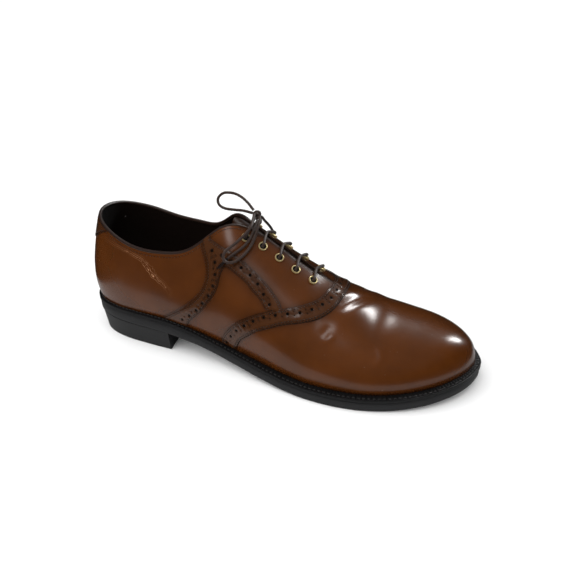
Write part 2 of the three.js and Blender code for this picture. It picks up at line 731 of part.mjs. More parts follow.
// One leather piece on each side: from the collar it forks to the welt and to the throat band.
function sideBand([from, to]) {
  const blocks = [QUARTER_BAND, FACING_BAND]
    .map((band) => acrossShoe(bandOutline(band), from, to));
  const fork = blocks[0].add(blocks[1]);
  const band = OVERLAY_SKIN.intersect(fork).subtract(throatBandBlock(2 * CLEARANCE));
  const pieces = band.decompose().sort((a, b) => b.volume() - a.volume());
  return asGeometry(pieces[0]);
}

// The small tab round the back of the collar.
function heelTab() {
  const front = sideView(ribPoint(HEEL_TAB.front, 1));
  const side = sideView(ribPoint(HEEL_TAB.side, HEEL_TAB.sideHeight));
  const back = sideView(ribPoint(0, HEEL_TAB.backHeight));
  const clearBehind = back.x - BAND_OVERRUN;
  const clearAbove = front.y + BACK_HEIGHT;
  const ahead = front.clone().sub(side).setLength(BAND_OVERRUN).add(front);
  const outline = [
    new THREE.Vector2(clearBehind, back.y),
    back,
    side,
    front,
    ahead,
    new THREE.Vector2(ahead.x, clearAbove),
    new THREE.Vector2(clearBehind, clearAbove),
  ];
  return asGeometry(OVERLAY_SKIN.intersect(acrossShoe(outline, -BALL_WIDTH, BALL_WIDTH)));
}

// A round lace along a smooth route.
function lace(route) {
  const radius = LACE_DIAMETER / 2;
  const rim = Array.from({ length: LACE_SIDES }, (_, i) => {
    const turn = (2 * Math.PI * i) / LACE_SIDES;
    return new THREE.Vector2(radius * Math.cos(turn), radius * Math.sin(turn));
  });
  const path = new THREE.CatmullRomCurve3(route, false, "centripetal");
  const steps = Math.ceil(path.getLength() / LACE_STEP) + 2;
  return new THREE.ExtrudeGeometry(new THREE.Shape(rim), {
    steps,
    extrudePath: path,
    bevelEnabled: false,
  });
}

// Points by which a lace comes straight up out of an eyelet.
function outOfEyelet(seat) {
  const inBore = -CLEARANCE;
  const aboveFlange = 1.5 * CLEARANCE + EYELET_RIM + LACE_DIAMETER / 2;
  return [inBore, aboveFlange].map((lift) => (
    seat.point.clone().addScaledVector(seat.outward, lift)
  ));
}

// The lace straight across between a pair of eyelets, over both edges of the facings.
function laceBar(seats, section) {
  const overEdge = LACE_DIAMETER / 2 + 3 * CLEARANCE;
  const edge = (place) => ribPoint(place, 1).add(new THREE.Vector3(0, 0, overEdge));
  const start = edge(section);
  const end = edge(mirrored(section));
  const middle = start.clone().lerp(end, 0.5).add(new THREE.Vector3(0, 0, overEdge / 2));
  return lace([
    ...outOfEyelet(seats.lateral), start, middle, end, ...outOfEyelet(seats.medial).reverse(),
  ]);
}

const TOP_PAIR = EYELET_SEATS[0];
const KNOT_CENTRE = TOP_PAIR.lateral.point.clone().lerp(TOP_PAIR.medial.point, 0.5)
  .add(new THREE.Vector3(...KNOT_PLACE));

const fromKnot = (place) => KNOT_CENTRE.clone().add(new THREE.Vector3(...place));

// From a top eyelet over the facing's edge up to the knot.
function topStrand(seat) {
  const side = Math.sign(seat.point.y);
  const aside = side * (KNOT_SIZE / 2 + LACE_DIAMETER / 3);
  const atKnot = fromKnot([-STRAND_END.back, aside, -STRAND_END.down]);
  const between = seat.point.clone().lerp(atKnot, TOP_STRAND_BEND)
    .addScaledVector(seat.outward, TOP_STRAND_RISE / 2);
  return lace([...outOfEyelet(seat), between, atKnot]);
}

// Materials, with the colours that the leather, rubber, lace and brass have by daylight
const leatherBrown = () => new THREE.MeshStandardMaterial({
  color: 0x5c3314,
  roughness: 0.35,
  metalness: 0,
});
const bandBrown = () => new THREE.MeshStandardMaterial({
  color: 0x54301a,
  roughness: 0.38,
  metalness: 0,
});
const liningBrown = () => new THREE.MeshStandardMaterial({
  color: 0x2a1a10,
  roughness: 0.7,
  metalness: 0,
});
const soleBlack = () => new THREE.MeshStandardMaterial({
  color: 0x1e1e1f,
  roughness: 0.6,
  metalness: 0,
});
const laceBrown = () => new THREE.MeshStandardMaterial({
  color: 0x2b2220,
  roughness: 0.6,
  metalness: 0,
});
const brass = () => new THREE.MeshStandardMaterial({
  color: 0xb9a04a,
  roughness: 0.3,
  metalness: 1,
});

const shoe = new THREE.Group();
shoe.position.x = -HEEL_LENGTH / 2; // origin on the floor under the middle of the heel

function addPiece(name, geometry, material) {
  const piece = new THREE.Mesh(geometry, material);
  piece.name = name;
  shoe.add(piece);
  return piece;
}

addPiece("outsole", outsole(), soleBlack());
addPiece("heel", heel(), soleBlack());
addPiece("welt", welt(), soleBlack());
addPiece("insole", insole(), liningBrown());
addPiece("upper", upper(), leatherBrown());
addPiece("tongue", tongue(), leatherBrown());
addPiece("throat_band", throatBand(), bandBrown());
addPiece("side_band_lateral", sideBand(SIDES.lateral), bandBrown());
addPiece("side_band_medial", sideBand(SIDES.medial), bandBrown());
addPiece("heel_tab", heelTab(), bandBrown());

EYELET_SEATS.forEach((seats, pair) => {
  for (const side of ["lateral", "medial"]) {
    const ring = addPiece(`eyelet_${side}_${pair + 1}`, eyelet(), brass());
    ring.applyMatrix4(alongOutward(seats[side]));
  }
  if (pair > 0) {
    addPiece(`lace_bar_${pair + 1}`, laceBar(seats, EYELET_SECTIONS[pair]), laceBrown());
  }
});

addPiece("lace_strand_lateral", topStrand(TOP_PAIR.lateral), laceBrown());
addPiece("lace_strand_medial", topStrand(TOP_PAIR.medial), laceBrown());
const knot = addPiece("lace_knot", new THREE.SphereGeometry(KNOT_SIZE / 2, 10, 7), laceBrown());
knot.position.copy(KNOT_CENTRE);
addPiece("lace_loop_rear", lace(REAR_LOOP.map(fromKnot)), laceBrown());
addPiece("lace_loop_lateral", lace(LATERAL_LOOP.map(fromKnot)), laceBrown());
addPiece("lace_end_lateral", lace(LATERAL_END.map(fromKnot)), laceBrown());
addPiece("lace_end_medial", lace(MEDIAL_END.map(fromKnot)), laceBrown());

export default shoe;
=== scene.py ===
"""A right-foot brogue in polished brown calf on a black rubber sole, dressed round its solids."""
import math

import bpy
import numpy as np
from bpy.props import FloatProperty, FloatVectorProperty, PointerProperty
from bpy.types import Operator, Panel, PropertyGroup
from mathutils import Matrix, Vector
from mathutils.geometry import delaunay_2d_cdt


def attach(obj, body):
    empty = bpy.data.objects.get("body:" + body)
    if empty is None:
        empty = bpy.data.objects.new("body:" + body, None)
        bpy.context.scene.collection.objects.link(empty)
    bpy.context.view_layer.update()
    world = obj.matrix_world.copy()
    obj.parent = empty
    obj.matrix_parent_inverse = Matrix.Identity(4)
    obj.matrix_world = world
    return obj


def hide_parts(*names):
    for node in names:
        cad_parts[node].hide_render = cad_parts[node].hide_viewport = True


bl_info = {
    "name": "Brogue shoe",
    "version": (1, 0, 0),
    "blender": (4, 5, 0),
    "location": "View3D > Sidebar > Brogue",
    "description": "Builds the leather, sole, seams and laces of a brogue round its solids",
    "category": "Object",
}

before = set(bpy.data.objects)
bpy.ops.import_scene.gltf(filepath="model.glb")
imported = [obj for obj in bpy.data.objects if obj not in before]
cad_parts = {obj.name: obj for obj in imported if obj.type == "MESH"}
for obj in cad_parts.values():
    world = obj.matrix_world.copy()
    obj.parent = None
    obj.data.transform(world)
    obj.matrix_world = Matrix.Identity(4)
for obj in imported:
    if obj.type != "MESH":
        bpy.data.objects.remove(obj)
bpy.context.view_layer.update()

MM = 0.001

# Sizes shared by the pieces, in millimetres
LAST_LENGTH = 295
BALL_WIDTH = 101
BACK_HEIGHT = 64
INSTEP_HEIGHT = 82
TOE_HEIGHT = 33
HEEL_HEIGHT = 17.5
HEEL_LENGTH = 75
HEEL_TAPER = 2
HEEL_OVERHANG = 1
BREAST_HOLLOW = 3
OUTSOLE_THICKNESS = 6.6
SEAT_THICKENING = 1.5
OUTSOLE_STEP = 0.5
WELT_THICKNESS = 2.9
WELT_WIDTH = 5.8
TOE_SPRING = 6.8
INSOLE_THICKNESS = 2.5
GAP = 0.3
WALL = 2
LEATHER_THICKNESS = 1.2
TONGUE_STAND = 12
TONGUE_THICKNESS = 1.8
EYELET_EDGE = 7.8
LACE_DIAMETER = 2
KNOT_SIZE = 6.4

# Trim: how much lower than the vamp's band the others and their edges lie, radii and height of the
# dark rims under the bands' edges, a painted shadow that shows between the teeth, and places of the
# pinholes and the collar's seam
SIDE_BAND_DROP = 0.15
HEEL_TAB_DROP = 0.3
BAND_EDGE_DROP = 0.28
VAMP_RIM = 0.82
EDGE_RIM = 0.4
FORK_RIM = 0.34
RIM_LIFT = 0.35
PINHOLE_OFFSET = 1.45
COLLAR_SEAM_DEPTH = 3.0

# Corners of the holes' outlines
HOLE_SIDES = 14
PINHOLE_SIDES = 8

# Sections of the last from the back of the heel to the toe: each is a rib from the feather line to
# the crest. The columns are x, lateral, medial, crest x, ridge, crest lateral, crest medial, back,
# instep, toe, lean, fullness, facing, crest lean, crest fullness and welt, as shares of the sizes
# above and in degrees.
SECTIONS = np.array([
    [0.0, 0.0, 0.0, 0.028, 0.0, 0.0, 0.0, 1.04, 0, 0, 18, 0.33, 0, 18, 0.33, 0.36],
    [0.014, 0.15, 0.15, 0.037, 0.0, 0.11, 0.11, 1.025, 0, 0, 17, 0.33, 35, 16, 0.33, 0.36],
    [0.05, 0.262, 0.262, 0.066, 0.0, 0.21, 0.205, 0.98, 0, 0, 14, 0.33, 62, 12, 0.33, 0.38],
    [0.108, 0.322, 0.322, 0.118, 0.0, 0.285, 0.275, 0.905, 0, 0, 12, 0.33, 78, 10, 0.33, 0.4],
    [0.175, 0.342, 0.342, 0.18, 0.0, 0.315, 0.298, 0.832, 0, 0, 12, 0.33, 86, 10, 0.33, 0.45],
    [0.25, 0.35, 0.33, 0.25, 0.0, 0.305, 0.285, 0.822, 0, 0, 12, 0.33, 90, 13, 0.33, 0.52],
    [0.325, 0.352, 0.305, 0.315, 0.0, 0.25, 0.232, 0.5, 0.328, 0, 12, 0.34, 90, 22, 0.34, 0.62],
    [0.39, 0.362, 0.29, 0.366, 0.0, 0.165, 0.155, 0, 0.898, 0, 12, 0.36, 90, 38, 0.36, 0.75],
    [0.45, 0.385, 0.295, 0.412, 0.0, 0.085, 0.08, 0, 0.995, 0, 12, 0.38, 90, 52, 0.38, 0.88],
    [0.515, 0.418, 0.325, 0.475, 0.0, 0.029, 0.029, 0, 0.948, 0, 12, 0.4, 90, 62, 0.42, 0.96],
    [0.585, 0.455, 0.375, 0.555, 0.0, 0.026, 0.026, 0, 0.823, 0, 12, 0.44, 90, 70, 0.44, 1],
    [0.655, 0.48, 0.43, 0.638, 0.0, 0.018, 0.018, 0, 0.687, 0, 12, 0.46, 90, 80, 0.46, 1],
    [0.725, 0.48, 0.47, 0.71, 0.01, 0.0, 0.0, 0, 0.3, 0.68, 12, 0.48, 90, 88, 0.5, 1],
    [0.795, 0.445, 0.48, 0.785, 0.025, 0.0, 0.0, 0, 0, 1.183, 12, 0.5, 90, 90, 0.53, 1],
    [0.865, 0.37, 0.45, 0.862, 0.045, 0.0, 0.0, 0, 0, 0.989, 10, 0.52, 90, 90, 0.55, 1],
    [0.925, 0.262, 0.375, 0.925, 0.06, 0.0, 0.0, 0, 0, 0.795, 8, 0.54, 90, 90, 0.56, 0.95],
    [0.97, 0.13, 0.262, 0.97, 0.07, 0.0, 0.0, 0, 0, 0.562, 4, 0.55, 90, 90, 0.56, 0.85],
    [0.993, 0.01, 0.15, 0.993, 0.075, 0.0, 0.0, 0, 0, 0.291, 2, 0.55, 90, 90, 0.5523, 0.74],
    [1.0, -0.075, 0.075, 1.0, 0.075, 0.0, 0.0, 0, 0, 0.0, 0, 0.55, 90, 90, 0.5523, 0.7],
])
TOE = len(SECTIONS) - 1
RING = 2 * TOE

# Section at which the slot starts to close, and the number of sections over which it does
THROAT = 10.5
THROAT_CLOSING = 0.5
CLOSED = THROAT + THROAT_CLOSING

# Underside of the outsole: x, and the shares of the heel's height and of the toe spring
UNDERSIDE = np.array([
    [-0.04, 1, 0], [0.1, 1, 0], [0.2, 1, 0], [0.24, 0.985, 0], [0.3, 0.87, 0], [0.38, 0.64, 0],
    [0.46, 0.39, 0], [0.54, 0.17, 0], [0.6, 0.055, 0], [0.65, 0, 0], [0.7, 0, 0], [0.755, 0, 0],
    [0.82, 0, 0.1], [0.9, 0, 0.42], [0.96, 0, 0.75], [1.04, 0, 1.15],
])
SEAT_FADE = (0.24, 0.4)

# Places on the leather are (section, height): height runs from 0 at the feather line over 1 at the
# crest to 2 at the feather line of the other side. The lateral side is given, the medial one is
# its mirror image.
QUARTER_EDGE = [(6.62, 0.998), (6.66, 0.93), (6.85, 0.82), (7.0, 0.72), (7.02, 0.62),
                (6.78, 0.51), (6.3, 0.41), (5.85, 0.3), (5.4, 0.16), (4.98, 0.012)]
QUARTER_FRONT = [(5.8, 0.012), (6.0, 0.14), (6.42, 0.27), (6.85, 0.375), (7.33, 0.47),
                 (7.54, 0.54), (7.66, 0.61), (7.88, 0.672)]
FACING_UNDER = [(7.88, 0.672), (8.15, 0.65), (8.55, 0.615), (8.8, 0.595), (8.97, 0.568),
                (9.25, 0.535), (9.48, 0.48)]
FACING_OVER = [(9.98, 0.53), (9.9, 0.575), (9.65, 0.625), (9.4, 0.66), (9.2, 0.68),
               (9.0, 0.7), (8.7, 0.722), (7.95, 0.785), (7.5, 0.84), (6.98, 0.95), (6.9, 0.998)]
FORK_LINES = (QUARTER_EDGE, QUARTER_FRONT, FACING_UNDER, FACING_OVER)
QUARTER_HOLES = [(7.0, 0.895), (7.2, 0.82), (7.4, 0.71), (7.42, 0.62), (7.3, 0.53), (7.05, 0.46),
                 (6.7, 0.385), (6.35, 0.3), (6.0, 0.205), (5.7, 0.11), (5.45, 0.03)]
FACING_HOLES = [(7.72, 0.75), (8.2, 0.705), (8.6, 0.68), (8.9, 0.66), (9.15, 0.63),
                (9.37, 0.58), (9.58, 0.53)]
THROAT_OVER = [(7.35, 0.012), (7.55, 0.11), (7.95, 0.205), (8.45, 0.295), (8.95, 0.375),
               (9.5, 0.465), (10.0, 0.545), (10.55, 0.65), (10.95, 0.76), (11.14, 0.88), (11.2, 1.0)]
THROAT_UNDER = [(7.98, 0.012), (8.3, 0.13), (8.65, 0.2), (9.0, 0.27), (9.6, 0.365), (10.1, 0.45),
                (10.6, 0.525), (11.05, 0.605), (11.4, 0.72), (11.58, 0.86), (11.63, 1.0)]
THROAT_HOLES = [(7.62, 0.045), (7.92, 0.135), (8.35, 0.23), (8.8, 0.31), (9.2, 0.385),
                (9.65, 0.455), (10.05, 0.518), (10.4, 0.57), (10.75, 0.635), (11.05, 0.715),
                (11.27, 0.81), (11.36, 0.9), (11.38, 1.0)]
HEEL_TAB_EDGE = [(-2.55, 0.985), (-1.9, 0.86), (-1.2, 0.74), (-0.6, 0.66), (0, 0.635),
                 (0.6, 0.66), (1.2, 0.74), (1.9, 0.86), (2.55, 0.985)]
TAB_HOLES = [(-1.5, 0.88), (-0.75, 0.79), (0.75, 0.79), (1.5, 0.88)]
EYELET_SECTIONS = [8.55, 9.13, 9.65, 10.15, 10.65]

# Sections at which the collar's binding, its seam and the bare edges of the slot end
BINDING_END = 8.62
COLLAR_SEAM_END = 8.4
SLOT_EDGE = (8.3, 11.1)

# Soft troughs and ridges of the worn leather: places, height in millimetres and width in
# millimetres. Each fades out towards its ends.
CREASES = [
    ([(11.5, 0.82), (11.6, 0.89), (11.95, 1.05), (12.05, 1.12)], 0.8, 4.2),
    ([(11.72, 0.72), (11.78, 0.8), (12.0, 0.91), (12.3, 1.06), (12.4, 1.12)], -1.0, 4.2),
    ([(11.7, 0.56), (11.76, 0.66), (12.1, 0.81), (12.5, 1.02), (12.62, 1.12)], 1.0, 6.5),
    ([(12.8, 0.55), (12.92, 0.8), (12.98, 1.12)], -0.95, 8.0),
    ([(15.4, 0.5), (15.45, 0.8), (15.4, 1.15)], 1.0, 11.0),
    ([(12.95, 0.59), (13.15, 0.44), (12.95, 0.35)], 0.35, 2.6),
    ([(11.25, 0.41), (11.35, 0.43), (11.55, 0.5), (11.62, 0.54)], 0.4, 2.6),
    ([(11.2, 0.47), (11.35, 0.52), (11.5, 0.6)], -0.35, 3.0),
    ([(14.4, 0.36), (14.5, 0.4), (14.75, 0.42)], 0.22, 2.4),
    ([(11.9, 1.15), (12.1, 1.3), (11.95, 1.5)], -0.7, 4.5),
    ([(12.5, 1.15), (12.7, 1.35), (12.6, 1.55)], -0.5, 6.0),
]
# Low waves of worn leather between the creases, and their spacing along x, y and z
WAVE_HEIGHT = 0.12
WAVE_LENGTHS = np.array([9.0, 13.0, 8.0])

# The scuff on the outer side: its middle line, and for each of its streaks the place across it and
# the half width, in millimetres, and the strength
SCUFF = [(2.5, 0.88), (4.2, 0.86), (4.75, 0.65), (5.2, 0.52), (5.35, 0.42)]
SCUFF_STREAKS = [(1.5, 0.32, 1.7), (0.2, 0.22, 1.2), (2.9, 0.28, 1.2), (4.3, 0.18, 0.7)]
SCUFF_REACH = 5.0
SCUFF_PALEST = 0.68

# Routes of the tied lace: forward, towards medial and up from the knot's centre, in millimetres
KNOT_PLACE = (2.6, 3.6, 12.2)
# Turns of the knot: tilt and lean in radians, radius and rise in millimetres
KNOT_TURNS = [(0.35, 0.2, 2.1, 0.0), (-0.9, 1.15, 1.5, 0.5), (0.6, 1.3, 1.6, -2.8)]
REAR_LOOP = [
    (-3.2, 1.5, 1.9), (-8.1, 3.2, 5.9), (-13.7, 4.9, 8.9), (-20, 6.2, 10.3), (-26.5, 6.9, 9.7),
    (-28.9, 6.9, 8.9), (-31, 6.7, 7.5), (-32.5, 6.2, 5.6), (-32.9, 5.4, 3.3), (-31.9, 4.6, 1.2),
    (-29.9, 3.8, -0.1), (-27.6, 3.3, -0.7), (-25.1, 2.9, -0.9), (-18, 2.2, -0.4), (-11, 1.6, 0.2),
    (-3.9, 1.6, -0.6),
]
LATERAL_LOOP = [
    (-0.4, -3.8, 1.2), (0.9, -9.2, -0.4), (2.1, -14.4, -2.3), (0.5, -18.9, -5.5),
    (-2.2, -22.9, -8.7), (-5.3, -26.7, -11.7), (-8.7, -30.4, -14.4), (-9.9, -31.9, -15.6),
    (-10.6, -33.4, -17.1), (-10.7, -34.5, -19), (-9.7, -35.1, -21), (-8, -34.7, -22.3),
    (-6.1, -33.7, -22.8), (-4.3, -32.3, -22.7), (-2.7, -30.8, -22.2), (0.1, -26.7, -20.1),
    (2.1, -22.4, -17.6), (3.3, -18.2, -14.5), (4.1, -14.4, -10.8), (4.6, -11.1, -6.6),
    (4.5, -7.1, -3.1), (3.4, -2.6, -0.4),
]
LATERAL_END = [
    (1.3, -2.6, -3.2), (1.5, -7.1, -5.7), (1.7, -11.6, -8.4), (1.4, -15.9, -11.1),
    (0.1, -20.1, -13.9), (-2.4, -23.8, -16.4), (-5.5, -27.3, -18.6), (-8.7, -30.5, -21.2),
    (-11.9, -33, -24.5), (-15, -35.1, -28),
]
MEDIAL_END = [
    (2.2, 2.9, -2.4), (3.7, 4.5, -6.2), (4.7, 7.2, -9.5), (5.2, 10.1, -12.8), (5.4, 12.9, -16.1),
    (5.3, 15.7, -19.6), (4.9, 18.3, -23.1), (4, 21.3, -26.2), (3.1, 23.7, -30), (2.5, 25.6, -33.9),
    (2, 27.3, -38.1),
]

# The photograph's view of the shoe
CAMERA_TARGET = Vector((0.12209, 0, 0.05135))
CAMERA_DISTANCE = 0.45
CAMERA_AZIMUTH = math.radians(20.81)
CAMERA_ELEVATION = math.radians(30.75)
CAMERA_ROLL = math.radians(-0.26)
CAMERA_LENS = 38.39
SENSOR_WIDTH = 36

# Lamps: place and size in metres, power in watts, and whether it lights the shoe as well as
# shining in it. The first two make the highlights of the vamp and the toe.
SOFTBOXES = [
    ("vamp_softbox", (0.165, 0.62, 1.0), (0.18, 0.42), 4.9, False),
    ("toe_softbox", (0.82, 0.61, 0.73), (0.21, 0.54), 9.0, False),
    ("side_softbox", (0.13, -0.6, 1.15), (0.34, 0.34), 1.1, True),
]
LAMP_TARGET = Vector((0.13, 0, 0.04))
FILL_DIRECTION = Vector((-0.2, -0.45, 1))
FILL_SPREAD = math.radians(110)
FILL_STRENGTH = 4.2

# Floor, and the grey sheet close to the shoe that only reflections show: corners and height in
# millimetres
FLOOR = ((-4000, -4000), (4000, 4000), -0.1)
SHEET = ((-105, -118), (318, 118), 0.05)
SHEET_GREY = (0.45, 0.45, 0.45)

# Colours of small things that a user hardly changes
# Near-black painted shadow of the hole floors and of the eyelets' bores
HOLE_SHADOW_COLOUR = "#070403"
AGLET_COLOUR = "#17100e"
WELT_THREAD_COLOUR = "#262525"


def linear(code):
    """Linear colour of an sRGB hex value."""
    shares = [int(code[i:i + 2], 16) / 255 for i in (1, 3, 5)]
    return tuple(s / 12.92 if s <= 0.04045 else ((s + 0.055) / 1.055) ** 2.4 for s in shares)


def colour_property(name, code, description):
    """A colour that a user may change."""
    return FloatVectorProperty(
        name=name, description=description, subtype="COLOR", size=3, min=0, max=1,
        default=linear(code),
    )


def size_property(name, millimetres, description):
    """A length that a user may change."""
    return FloatProperty(
        name=name, description=description, default=millimetres * MM, min=0, unit="LENGTH",
    )


class BrogueSizes(PropertyGroup):
    """Sizes of the shoe's trim"""

    hole: size_property("Large hole", 2.2, "Diameter of the large punched holes")
    hole_pitch: size_property("Hole pitch", 8.4, "Distance between the large holes")
    pinhole: size_property("Pinhole", 0.8, "Diameter of the small holes between the large ones")
    band: size_property("Band", 0.9, "Height of the leather bands over the upper")
    gimp: size_property("Gimping", 0.4, "Depth of the teeth along the bands' edges")
    gimp_pitch: size_property("Gimping pitch", 2.0, "Length of one tooth")
    stitch_pitch: size_property("Stitch pitch", 2.1, "Distance between the stitches of a seam")
    thread: size_property("Thread", 0.5, "Thickness of the upper's thread")
    welt_pitch: size_property("Welt pitch", 2.2, "Distance between the welt's notches")


class BrogueColours(PropertyGroup):
    """Colours of the shoe"""

    calf: colour_property("Calf", "#4d2606", "Polished calf of the upper")
    # The deep calf is both the darker clouds of the calf's own tone and the painted shade near the
    # welt, the bands' edges and the slot
    calf_deep_and_shade: colour_property("Deep calf", "#200e03", "Calf where polish has gathered")
    calf_scuffed: colour_property("Scuffed calf", "#b98560", "Calf where the polish is worn off")
    band: colour_property("Bands", "#3f220d", "Calf of the bands")
    binding: colour_property("Binding", "#241813", "Rolled edge of the collar")
    lining: colour_property("Lining", "#120b08", "Lining and sock")
    rubber: colour_property("Rubber", "#1d1d1e", "Sole and heel")
    brass: colour_property("Brass", "#ead59c", "Eyelets")
    lace: colour_property("Lace", "#30231d", "Waxed lace")
    thread: colour_property("Thread", "#130905", "Thread of the seams")
    floor: colour_property("Floor", "#f8f8f8", "Floor of the studio")


def smooth_step(value, low, high):
    """Zero below low, one above high and smooth between them."""
    share = np.clip((value - low) / (high - low), 0, 1)
    return share * share * (3 - 2 * share)


def unit(vectors):
    """The same directions at unit length."""
    return vectors / np.maximum(np.linalg.norm(vectors, axis=-1, keepdims=True), 1e-9)


def distances(path):
    """Distance along a path at each of its points."""
    return np.r_[0, np.cumsum(np.linalg.norm(np.diff(path, axis=0), axis=1))]


def near_path(points, path, reach):
    """Which points lie within reach of the box round a path."""
    return np.all((points > path.min(0) - reach) & (points < path.max(0) + reach), axis=1)


def circle(sides):
    """Angles at even steps round a circle."""
    return 2 * np.pi * np.arange(sides) / sides


def ring_rows():
    """Control rows of the closed spline through the sections of both sides."""
    rows = []
    for k in range(RING):
        side = -1 if k <= TOE else 1
        (x, lateral, medial, crest_x, ridge, crest_lateral, crest_medial, back, instep, toe, lean,
         fullness, facing, crest_lean, crest_fullness, welt) = SECTIONS[k if k <= TOE else RING - k]
        reach, crest = (lateral, crest_lateral) if side < 0 else (medial, crest_medial)
        rows.append([
            x * LAST_LENGTH, side * reach * BALL_WIDTH, crest_x * LAST_LENGTH,
            (ridge + side * crest) * BALL_WIDTH,
            back * BACK_HEIGHT + instep * INSTEP_HEIGHT + toe * TOE_HEIGHT,
            math.radians(lean), fullness, math.radians(facing), math.radians(crest_lean),
            crest_fullness, welt * WELT_WIDTH,
        ])
    rows = np.array(rows)
    controls = rows.copy()
    for _ in range(60):
        for k in range(RING):
            controls[k] = (6 * rows[k] - controls[k - 1] - controls[(k + 1) % RING]) / 4
    return controls


RING_CONTROLS = ring_rows()


def stations(section):
    """Values of the sections' spline, in the order of ring_rows."""
    place = np.mod(section, RING)
    first = np.floor(place).astype(int)
    f = place - first
    weights = np.stack([
        (1 - f) ** 3, 3 * f ** 3 - 6 * f ** 2 + 4, -3 * f ** 3 + 3 * f ** 2 + 3 * f + 1, f ** 3,
    ], -1) / 6
    rows = RING_CONTROLS[(first[..., None] + np.arange(-1, 3)) % RING]
    return np.einsum("...i,...ik->...k", weights, rows)


def underside(x):
    """Height of the outsole's underside, a smooth curve that never overshoots its rows."""
    xs = UNDERSIDE[:, 0] * LAST_LENGTH
    zs = UNDERSIDE[:, 1] * HEEL_HEIGHT + UNDERSIDE[:, 2] * TOE_SPRING
    rise = np.diff(zs) / np.diff(xs)
    slope = np.zeros(len(xs))
    slope[0], slope[-1] = rise[0], rise[-1]
    for i in range(1, len(xs) - 1):
        if rise[i - 1] * rise[i] > 0:
            before, after = xs[i] - xs[i - 1], xs[i + 1] - xs[i]
            slope[i] = 3 * (before + after) / (
                (2 * after + before) / rise[i - 1] + (after + 2 * before) / rise[i])
    place = np.clip(x, xs[0], xs[-1])
    i = np.clip(np.searchsorted(xs, place) - 1, 0, len(xs) - 2)
    span = xs[i + 1] - xs[i]
    t = (place - xs[i]) / span
    return ((2 * t ** 3 - 3 * t ** 2 + 1) * zs[i] + (t ** 3 - 2 * t ** 2 + t) * span * slope[i]
            + (3 * t ** 2 - 2 * t ** 3) * zs[i + 1] + (t ** 3 - t ** 2) * span * slope[i + 1])


def outsole_top(x):
    """Height of the outsole's upper face."""
    low, high = (share * LAST_LENGTH for share in SEAT_FADE)
    return underside(x) + OUTSOLE_THICKNESS + SEAT_THICKENING * (1 - smooth_step(x, low, high))


def welt_top(x):
    """Height of the welt's upper face."""
    return outsole_top(x) + GAP + WELT_THICKNESS


def feather_height(x):
    """Height of the line where the upper meets the welt."""
    return welt_top(x) + GAP


def feather_outward(section):
    """Outward direction of the feather line in plan."""
    ahead, behind = stations(section + 0.01), stations(section - 0.01)
    across = np.stack([ahead[..., 1] - behind[..., 1], behind[..., 0] - ahead[..., 0]], -1)
    return unit(across)


def rib_point(section, height):
    """Point of the leather's outer face before it is creased, on the frame of the sections."""
    section, height = np.broadcast_arrays(np.asarray(section, float), np.asarray(height, float))
    around = np.mod(section, RING)
    medial = around > TOE
    s = stations(around)
    from_toe = np.abs(around - TOE)
    across = stations(RING - around)[..., 3]
    middle = (s[..., 3] + across) / 2
    is_open = 1 - smooth_step(TOE - THROAT - from_toe, 0, THROAT_CLOSING)
    crest_y = np.where(from_toe < TOE - THROAT, middle + (s[..., 3] - middle) * is_open, s[..., 3])
    foot = np.stack([s[..., 0], s[..., 1], feather_height(s[..., 0])], -1)
    crest = np.stack([s[..., 2], crest_y, feather_height(s[..., 2]) + s[..., 4]], -1)
    side = np.where(medial, 1.0, -1.0)
    zero = np.zeros_like(side)
    outward = np.stack([-np.cos(s[..., 7]), side * np.sin(s[..., 7]), zero], -1)
    rise = (crest - foot)[..., 2:]
    reach = np.abs(((foot - crest) * outward).sum(-1, keepdims=True))
    up = np.array([0, 0, 1.0])
    plan = feather_outward(around)
    foot_out = np.stack([plan[..., 0], plan[..., 1], zero], -1)
    lean, fullness = s[..., 5:6], s[..., 6:7]
    crest_lean, crest_fullness = s[..., 8:9], s[..., 9:10]
    lower = foot + fullness * rise * (np.cos(lean) * up + np.sin(lean) * foot_out)
    pull = crest_fullness * (rise * np.cos(crest_lean) + reach * np.sin(crest_lean))
    upper = crest + pull * (np.sin(crest_lean) * outward - np.cos(crest_lean) * up)
    t = height[..., None]
    return (foot * (1 - t) ** 3 + 3 * lower * t * (1 - t) ** 2
            + 3 * upper * t * t * (1 - t) + crest * t ** 3)


def side_normal(section, height):
    """Outward normal worked out on one side."""
    along = rib_point(section + 0.01, height) - rib_point(section - 0.01, height)
    upward = (rib_point(section, np.minimum(height + 0.01, 1))
              - rib_point(section, np.maximum(height - 0.01, 0)))
    return unit(np.cross(along, upward))


def leather_normal(section, height):
    """Outward normal that both sides share near the ridge of the vamp and at the toe's tip."""
    section, height = np.broadcast_arrays(np.asarray(section, float), np.asarray(height, float))
    around = np.mod(section, RING)
    at_tip = np.abs(around - TOE) < 0.02
    safe = np.where(at_tip, TOE - 0.12, around)
    safe_height = np.where(at_tip, 0.5, height)
    normal = side_normal(safe, safe_height)
    other = side_normal(RING - safe, safe_height)
    vamp = np.abs(around - TOE) < TOE - CLOSED + 1e-6
    share = np.where(vamp, 0.5 * smooth_step(safe_height, 0.96, 1.0), 0)
    share = np.where(at_tip, 0.5, share)[..., None]
    return unit(normal * (1 - share) + other * share)


# About how many millimetres one section and one height are
PLACE_SCALE = np.array([14.0, 70.0])

# Steps over which slopes on the leather are taken
SECTION_STEP = 0.02
RISE_STEP = 0.004


def spread(places):
    """Section round the ring and height on its rib, of places counted over the crest."""
    places = np.asarray(places, float)
    over = places[..., 1] > 1
    return (np.where(over, RING - places[..., 0], places[..., 0]),
            np.where(over, 2 - places[..., 1], places[..., 1]))


